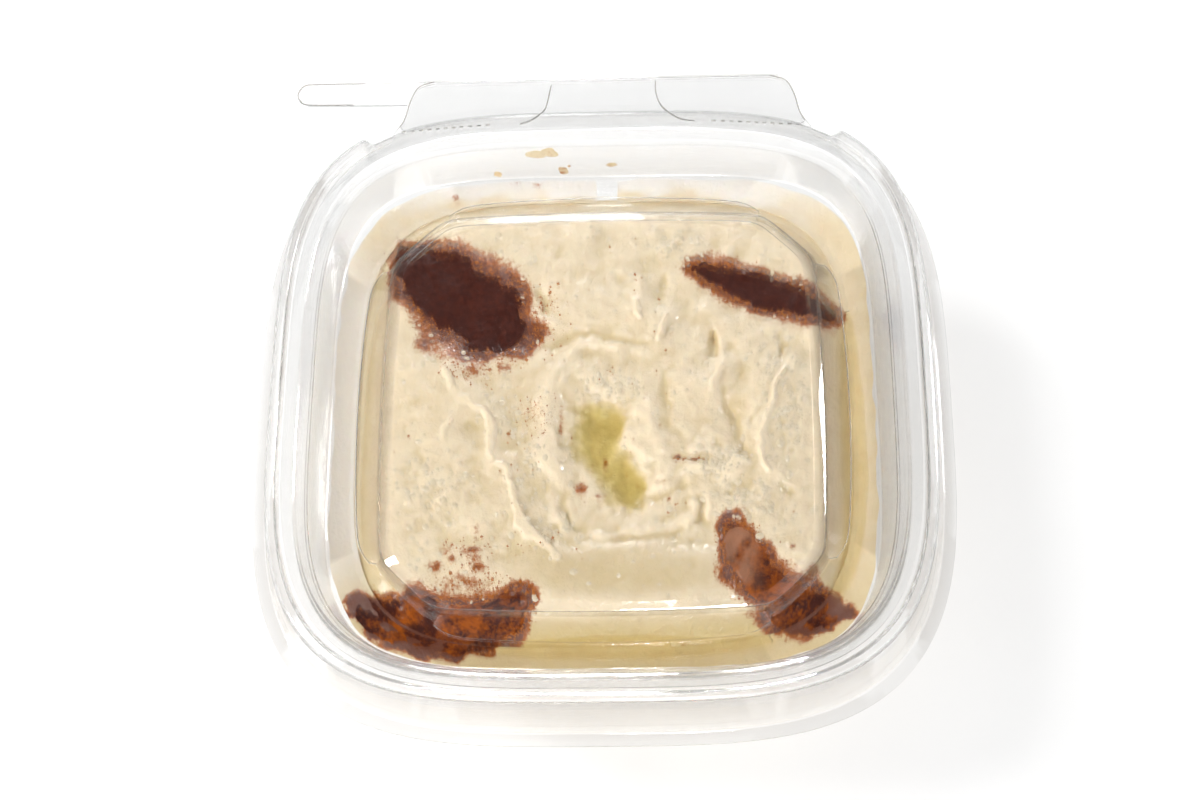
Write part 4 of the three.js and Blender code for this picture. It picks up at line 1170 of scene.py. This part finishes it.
film_thin = np.maximum(film_thin, 0.8 * ease((-np.cos(film_angle) - 0.72) / 0.2))
paint_slab(film, "thinned", film_thin)
film_cover = patch_cover(film_x, film_y) + 0.3 * rough_lumps(film_x, film_y, 3.0, 4, 52)
film_spice = ease((film_cover + 0.3) / 0.6)
for stain in FILM_STAINS:
    film_spice = np.maximum(film_spice, stain[4] * mound(stain, film_x, film_y))
paint_slab(film, "spice", film_spice)
film.data.materials.append(paste)


# ------------------------------------------------------------------ smears behind the lid's wall
# Dabs of spicy oil and of paste caught between the lid's back wall and the tub when the lid was
# pressed down: thin domed spots that cling to the lid.

# Place in plan, level, reach round the wall and up it, and how much spice is in it.
SMEARS = [
    (-8.1, 53.2, -10.3, 1.0, 0.8, 0.25), (-21.3, 52.6, -10.7, 0.7, 0.6, 0.16),
    (-13.4, 54.6, -6.3, 1.9, 0.9, 0.12), (-10.6, 54.6, -6.0, 1.6, 1.1, 0.14),
    (1.8, 53.6, -9.0, 1.1, 0.5, 0.18), (-6.9, 53.6, -9.2, 0.3, 0.3, 0.3),
]
# A dab's own form: how far out towards its edge, and how far off the lid's wall.
DAB_PROFILE = [(0, 0), (0.5, 0), (1, 0), (1, 0.03), (0.75, 0.09), (0.4, 0.13), (0, 0.14)]
LID_WALL_FORM = {"power": 4.3}
LID_WALL_TOP = LID_SECTION[2]
LID_WALL_FOOT = LID_SECTION[3]
LID_WALL_SLOPE = (LID_WALL_TOP[0] - LID_WALL_FOOT[0]) / (LID_WALL_TOP[1] - LID_WALL_FOOT[1])

smear_turn = np.linspace(0, 2 * np.pi, 25)[:-1]
smear_rings = []
smear_faces = []
smear_spice = []
for number, (x, y, middle_level, across, upright, spiced) in enumerate(SMEARS):
    uneven = 1 + 0.3 * lumps(np.cos(smear_turn) * 1.5, np.sin(smear_turn) * 1.5, 1.0, 90 + number)
    first = len(smear_spice)
    rings = []
    for part, lift in DAB_PROFILE:
        out = uneven * part if part else np.zeros(1)
        turn = smear_turn if part else np.zeros(1)
        angle = np.arctan2(y, x) + across * out * np.cos(turn) / np.hypot(x, y)
        level = middle_level + upright * out * np.sin(turn)
        wall = LID_WALL_FOOT[0] + (level - LID_WALL_FOOT[1]) * LID_WALL_SLOPE
        half = wall + SHEET / 2 + 0.02 + lift
        radius = reach(1.0, LID_WALL_FORM, angle) * half
        rings.append(circle_points(radius, angle, level))
    smear_faces += [[first + i for i in face] for face in ring_faces(rings)]
    smear_rings += rings
    smear_spice += [spiced] * sum(len(ring) for ring in rings)
smears = make_piece("lid_smears", np.vstack(smear_rings), smear_faces, "lid")
paint(smears, "spice", np.array(smear_spice))
paint(smears, "margin_oil", np.full(len(smear_spice), 0.25))
smears.data.materials.append(paste)


# ------------------------------------------------------------------ olive oil
# Oil poured into the well of the swirl, and oil that has run down to the front and right margins.
# Each is a clear yellow-green body, level on top, that soaks a little way into what it lies on.

OIL_POOL_LEVEL = -10.75
OIL_MARGIN_LEVEL = -12.8


def oil_material(name, colour):
    """Clear oil: it bends light, tints it more where it is deep, and has fine cloudy lumps."""
    material, tree, oil = new_material(name)
    deeper = tuple(0.92 * part for part in colour)
    cloudy = mix_colours(tree, ranged(tree, noise(tree, 300, 3), 0.4, 0.7), colour, deeper)
    tint = mix_colours(tree, stored(tree, "depth"), (0.99, 0.98, 0.94), cloudy)
    tree.links.new(tint, oil.inputs["Base Color"])
    tree.links.new(bump(tree, noise(tree, 420, 2), 0.25, 0.0006), oil.inputs["Normal"])
    set_inputs(oil, {"Roughness": 0.03, "IOR": 1.47, "Transmission Weight": 1})
    let_light_through(tree, oil, tint, 0.0)
    return material


def bed_level(x, y):
    """What oil or spice lies on: the paste, or the film on the tub's shoulder outside it."""
    half = food_half(x, y)
    share, shoulder = up_shoulder(half)
    level = hummus_level(x, y)
    on_film = np.maximum(shoulder + 0.35 * (1 - share), level)
    return np.where(half > HUMMUS_HALF - 0.8, on_film, level)


# The pool is an oval that bulges towards the well's tail.
POOL_HALF_ACROSS = 8.6
POOL_HALF_ALONG = 12.4
POOL_BULGE = 4.5
POOL_BULGE_ANGLE = -1.12
POOL_RINGS = 22
pool_turn = np.linspace(0, 2 * np.pi, 97)[:-1]
pool_part = np.linspace(0, 1, POOL_RINGS)
off_bulge = np.angle(np.exp(1j * (pool_turn - POOL_BULGE_ANGLE)))
pool_reach = POOL_HALF_ALONG + POOL_BULGE * np.exp(-(off_bulge / 0.5) ** 2)
pool_squeeze = np.hypot(np.cos(pool_turn) / POOL_HALF_ACROSS, np.sin(pool_turn) / POOL_HALF_ALONG)
pool_squeeze *= POOL_HALF_ALONG
pool_out = pool_part[:, None] * (pool_reach / pool_squeeze)[None, :]
pool_x = WELL[0] + pool_out * np.cos(pool_turn)
pool_y = WELL[1] + pool_out * np.sin(pool_turn)
pool_bed = np.minimum(hummus_level(pool_x, pool_y), OIL_POOL_LEVEL) - 0.12
pool_top = np.maximum(np.full_like(pool_bed, OIL_POOL_LEVEL), pool_bed + 0.05)
pool_rings = [np.array([[WELL[0], WELL[1], pool_bed[0, 0]]])]
pool_rings += [np.stack([pool_x[i], pool_y[i], pool_bed[i]], 1) for i in range(1, POOL_RINGS)]
pool_rings += [np.stack([pool_x[i], pool_y[i], pool_top[i]], 1) for i in range(POOL_RINGS - 1, 0, -1)]
pool_rings += [np.array([[WELL[0], WELL[1], OIL_POOL_LEVEL]])]
pool_faces = ring_faces(pool_rings)
pool = make_piece("oil_in_well", np.vstack(pool_rings), pool_faces, "base", ["oil_pool"])
pool_depth = np.clip((OIL_POOL_LEVEL - pool_bed - 0.12) / 1.2, 0, 1)
paint(pool, "depth", np.concatenate([[1.0], pool_depth[1:].ravel(), pool_depth[:0:-1].ravel(), [1.0]]))
pool.data.materials.append(oil_material("olive_oil_pool", (0.86, 0.82, 0.50)))

# Name of the piece and of its solid, and the angles where the oil starts and ends.
MARGIN_OILS = [("oil_at_front", "oil_front", -2.05, -0.98), ("oil_at_right", "oil_right", -0.72, 0.42)]
MARGIN_OIL_HALF = 48.0
MARGIN_OIL_SPREAD = 2.9
for name, node, start, end in MARGIN_OILS:
    turn = np.linspace(start, end, 150)
    lane = np.linspace(-1, 1, 16)
    taper = 0.25 + 0.75 * np.sin(np.linspace(0, np.pi, 150))
    uneven = 1 + 0.12 * lumps(turn * 9, turn * 0, 1.0, 77)
    half = MARGIN_OIL_HALF + lane[None, :] * (MARGIN_OIL_SPREAD * taper * uneven)[:, None]
    radius = reach(1.0, HUMMUS_FORM, turn)[:, None] * half
    x = radius * np.cos(turn)[:, None]
    y = radius * np.sin(turn)[:, None]
    bed = bed_level(x, y) - 0.12
    top = np.maximum(OIL_MARGIN_LEVEL - 0.5 * lane[None, :] ** 4, bed + 0.06)
    points, faces = slab(x, y, bed, top)
    oil = make_piece(name, points, faces, "base", [node])
    paint_slab(oil, "depth", np.clip((top - bed) / 0.9, 0, 1))
    oil.data.materials.append(oil_material(name + "_clear", (0.975, 0.93, 0.78)))


# ------------------------------------------------------------------ paprika
# Ground sweet paprika in four patches near the corners, dark where it has soaked up oil, rust red
# at the ragged rims, with loose flakes scattered round them and over the paste.

SOAKED_CORE = ((0.040, 0.0085, 0.005), (0.070, 0.014, 0.007))
DRY_PAPRIKA = (0.34, 0.075, 0.004)
WASHED_OUT = (0.40, 0.19, 0.11)

dark_spice, tree, surface = new_material("oil_soaked_paprika")
core = mix_colours(tree, ranged(tree, noise(tree, 800, 5), 0.4, 0.7), *SOAKED_CORE)
grain = combine(tree, "MULTIPLY", noise(tree, 1400, 5), 1.5)
grainy = combine(tree, "ADD", stored(tree, "rim"), grain)
rusty = mix_colours(tree, ranged(tree, grainy, 0.72, 1.28, 1, 0), core, DRY_PAPRIKA)
milky = mix_colours(tree, ranged(tree, stored(tree, "milky"), 0, 1, 0, 0.8), rusty, WASHED_OUT)
blisters = ranged(tree, noise(tree, 700, 2), 0.55, 0.80)
tree.links.new(milky, surface.inputs["Base Color"])
tree.links.new(bump(tree, noise(tree, 2600, 5), 0.6, 0.0003), surface.inputs["Normal"])
tree.links.new(bump(tree, blisters, 1.0, 0.00011), surface.inputs["Coat Normal"])
set_inputs(surface, {
    "Roughness": 0.6,
    "Specular IOR Level": 0.03,
    "Coat Weight": 0.4,
    "Coat Roughness": 0.05,
})

# How deep the colour is in each patch: the front right one is thin and half washed out.
STRENGTHS = {
    "paprika_back_left": 1.0,
    "paprika_back_right": 0.95,
    "paprika_front_left": 0.36,
    "paprika_front_right": 0.30,
}
PATCH_ROWS = 150
PATCH_COLUMNS = 64
PATCH_LIMIT = 51.6
for name, (line, half) in PAPRIKA.items():
    spine = through_points(np.column_stack([line, half]), 40)
    pick = np.linspace(0, len(spine) - 1, PATCH_ROWS)
    middle = np.stack([np.interp(pick, np.arange(len(spine)), spine[:, i]) for i in range(3)], 1)
    across = left_of(middle[:, :2])
    out = np.linspace(-1, 1, PATCH_COLUMNS)
    near_end = np.clip((np.abs(np.linspace(-1, 1, PATCH_ROWS)) - 0.8) / 0.2, 0, 1)[:, None]
    patch_half = 1.05 * middle[:, 2:3] * np.sqrt(1 - 0.92 * near_end ** 2)
    x = middle[:, :1] + across[:, :1] * out * patch_half
    y = middle[:, 1:2] + across[:, 1:2] * out * patch_half
    past = np.maximum(food_half(x, y) / PATCH_LIMIT, 1)
    x = x / past
    y = y / past
    inner = ease((patch_cover(x, y) + 0.26 * rough_lumps(x, y, 4.2, 5, 51) + 0.06) / 0.34)
    clumps = 0.12 * rough_lumps(x, y, 2.6, 2, 72)
    bed = bed_level(x, y) - 0.3
    top = bed + 0.08 + (0.5 + clumps) * inner
    top = np.maximum(np.minimum(top, ceiling(x, y) - 0.03), bed + 0.05)
    points, faces = slab(x, y, bed, top)
    patch = make_piece(name + "_patch", points, faces, "base", [name], crease=70)
    blotches = 0.42 * rough_lumps(x, y, 3.6, 5, 78)
    darkness = inner * STRENGTHS[name] + blotches * (1.1 - STRENGTHS[name])
    paint_slab(patch, "rim", np.clip(darkness, 0, 1))
    # Part of the front right patch is so thin that milky paste shows through.
    thin_part = ease((31 - x) / 5) * ease((y + 40) / 5) * ease((x - 18) / 4) * ease((-y - 20) / 4)
    thin_part = np.clip(thin_part * (1 + 0.6 * rough_lumps(x, y, 2.6, 4, 79)), 0, 1)
    paint_slab(patch, "milky", thin_part)
    patch.data.materials.append(dark_spice)

# Loose flakes: drawn round the patches and in a few sprinkled places, given by centre, spread
# across and along, and count.
FLAKES_AT_PATCH = 2600
FLAKE_LIMIT = 51.0
SPRINKLES = [
    (-13, -3, 5.0, 6.5, 60), (-25, -32, 5.0, 4.5, 110), (-22, -36, 6.0, 2.0, 70),
    (-11, 22, 4.0, 5.0, 70), (-17, 26, 3.0, 3.0, 90), (1.5, 7.5, 1.2, 1.0, 6), (20, -49, 12.0, 1.2, 60),
    (13, -20, 2.0, 2.0, 8), (-4, -17, 1.2, 1.3, 30), (35.5, -29.6, 0.8, 0.8, 6),
    (16, -11.4, 2.4, 0.3, 26), (-14, 15, 4.0, 3.5, 40), (8, 24, 3.0, 5.0, 10), (0, 0, 30.0, 30.0, 110),
    (-26, 8, 5.5, 2.4, 120), (-14, -28, 7.0, 3.0, 30),
]
draw = np.random.default_rng(2024)
flake_x = []
flake_y = []
for line, half in PAPRIKA.values():
    spine = through_points(np.column_stack([line, half]), 6)
    chosen = draw.integers(0, len(spine), FLAKES_AT_PATCH)
    away = spine[chosen, 2] * (0.85 + np.abs(draw.normal(0, 0.24, FLAKES_AT_PATCH)))
    turn = draw.uniform(0, 2 * np.pi, FLAKES_AT_PATCH)
    flake_x.append(spine[chosen, 0] + away * np.cos(turn))
    flake_y.append(spine[chosen, 1] + away * np.sin(turn))
for x, y, spread_x, spread_y, count in SPRINKLES:
    flake_x.append(x + spread_x * draw.normal(0, 0.6, count))
    flake_y.append(y + spread_y * draw.normal(0, 0.6, count))
flake_x = np.concatenate(flake_x)
flake_y = np.concatenate(flake_y)
kept = food_half(flake_x, flake_y) < FLAKE_LIMIT
flake_x = flake_x[kept]
flake_y = flake_y[kept]
flake_count = len(flake_x)
OCTAHEDRON = np.array([(1, 0, 0), (0, 1, 0), (-1, 0, 0), (0, -1, 0), (0, 0, 1), (0, 0, -1)], float)
OCTAHEDRON_FACES = np.array([
    (0, 1, 4), (1, 2, 4), (2, 3, 4), (3, 0, 4),
    (1, 0, 5), (2, 1, 5), (3, 2, 5), (0, 3, 5),
])
flake_size = draw.lognormal(-1.85, 0.42, flake_count)[:, None] * draw.uniform(0.55, 1.3, (flake_count, 3))
flake_size[:, 2] = np.minimum(flake_size[:, 2] * 0.6, 0.12)
flake_turn = draw.uniform(0, np.pi, flake_count)
flake = OCTAHEDRON[None] * flake_size[:, None, :]
cosine = np.cos(flake_turn)[:, None]
sine = np.sin(flake_turn)[:, None]
flake_z = np.minimum(bed_level(flake_x, flake_y) + 0.04, ceiling(flake_x, flake_y) - 0.15)
flakes = np.stack([
    flake_x[:, None] + flake[..., 0] * cosine - flake[..., 1] * sine,
    flake_y[:, None] + flake[..., 0] * sine + flake[..., 1] * cosine,
    flake_z[:, None] + flake[..., 2],
], -1)
flake_faces = (OCTAHEDRON_FACES[None] + 6 * np.arange(flake_count)[:, None, None]).reshape(-1, 3)
sprinkle = make_piece("paprika_flakes", flakes.reshape(-1, 3), flake_faces.tolist(), "base")
LOOSE_FLAKE = ((0.29, 0.066, 0.007), (0.42, 0.135, 0.020))
flake_material, tree, surface = new_material("loose_paprika")
shade = mix_colours(tree, ranged(tree, noise(tree, 900, 2), 0.35, 0.65), *LOOSE_FLAKE)
tree.links.new(shade, surface.inputs["Base Color"])
set_inputs(surface, {"Roughness": 0.45, "Specular IOR Level": 0.1})
sprinkle.data.materials.append(flake_material)


# ------------------------------------------------------------------ table, light and camera
# A plain pale table, a soft bright dome that is darker low down and where the lid would mirror it to
# the eye, a broad lamp at the left, four small ones for the glints, and the camera above the tub.

table = bpy.data.meshes.new("table")
table.from_pydata([(-1.5, -1.5, 0), (1.5, -1.5, 0), (1.5, 1.5, 0), (-1.5, 1.5, 0)], [], [(0, 1, 2, 3)])
table_top = bpy.data.objects.new("table", table)
bpy.context.scene.collection.objects.link(table_top)
paint_white, tree, surface = new_material("pale_table")
tone = mix_colours(tree, ranged(tree, noise(tree, 40, 3), 0.3, 0.7), (0.47, 0.47, 0.47), (0.49, 0.49, 0.49))
tree.links.new(tone, surface.inputs["Base Color"])
set_inputs(surface, {"Emission Color": (1.0, 1.0, 1.0, 1), "Emission Strength": 0.48, "Roughness": 0.8})
table.materials.append(paint_white)

# The direction that the flat lid mirrors to the eye.
MIRRORED_BY_LID = (-0.04, 0.44, 0.9)
world = bpy.data.worlds.new("soft_dome")
bpy.context.scene.world = world
world.use_nodes = True
tree = world.node_tree
sky = tree.nodes["Background"]
direction = tree.nodes.new("ShaderNodeTexCoord")
split = tree.nodes.new("ShaderNodeSeparateXYZ")
tree.links.new(direction.outputs["Generated"], split.inputs["Vector"])
above = ranged(tree, split.outputs["Z"], 0.0, 0.4, 0.5, 2.2, eased=True)
facing = tree.nodes.new("ShaderNodeVectorMath")
facing.operation = "DOT_PRODUCT"
facing.inputs[1].default_value = MIRRORED_BY_LID
tree.links.new(direction.outputs["Generated"], facing.inputs[0])
dark_patch = ranged(tree, facing.outputs["Value"], 0.34, 0.80, 1.0, 0.01, eased=True)
tree.links.new(combine(tree, "MULTIPLY", above, dark_patch), sky.inputs["Strength"])
sky.inputs["Color"].default_value = (1.0, 1.0, 1.0, 1)


def lamp(name, place, size, power):
    """A square lamp that faces the food. Places are millimetres from the tub's foot."""
    light = bpy.data.lights.new(name, "AREA")
    light.size = size * 0.001
    light.energy = power
    made = bpy.data.objects.new(name, light)
    turn = (Vector((0, 0, 40)) - Vector(place)).to_track_quat("-Z", "Y").to_matrix().to_4x4()
    made.matrix_world = Matrix.Translation(Vector(place) * 0.001) @ turn
    bpy.context.scene.collection.objects.link(made)
    return made


# The broad lamp lights the food and isn't mirrored in the plastic or seen through it.
key = lamp("key", (-700, 250, 600), 220, 6.9)
key.visible_glossy = False
key.visible_transmission = False

# Small lamps that show only as glints: name, place and power.
GLINT_SIZE = 110
GLINTS = [
    ("right", (650, 350, 520), 8.0),
    ("left", (-560, -60, 560), 2.2),
    ("back", (-60, 900, 300), 14.0),
    ("front", (30, -420, 760), 3.6),
]
for name, place, power in GLINTS:
    lamp("glint_" + name, place, GLINT_SIZE, power).visible_diffuse = False

# The camera's place in metres, and how far it looks down, is turned and is tilted.
EYE_PLACE = (0.0169, -0.1944, 0.4359)
PITCH = np.radians(63.93)
YAW = np.radians(-5.07)
ROLL = np.radians(-5.38)
camera = bpy.data.cameras.new("camera")
camera.sensor_width = 36
camera.lens = 69.8
camera.clip_start = 0.01
eye = bpy.data.objects.new("camera", camera)
forward = np.array([np.sin(YAW) * np.cos(PITCH), np.cos(YAW) * np.cos(PITCH), -np.sin(PITCH)])
level_right = np.array([np.cos(YAW), -np.sin(YAW), 0])
level_up = np.cross(level_right, forward)
right = np.cos(ROLL) * level_right + np.sin(ROLL) * level_up
up = -np.sin(ROLL) * level_right + np.cos(ROLL) * level_up
turned = Matrix(np.column_stack([right, up, -forward]).tolist()).to_4x4()
eye.matrix_world = Matrix.Translation(EYE_PLACE) @ turned
bpy.context.scene.collection.objects.link(eye)
bpy.context.scene.camera = eye

bpy.context.scene.view_settings.view_transform = "Standard"
cycles = bpy.context.scene.cycles
cycles.max_bounces = 20
cycles.transmission_bounces = 20
cycles.transparent_max_bounces = 24
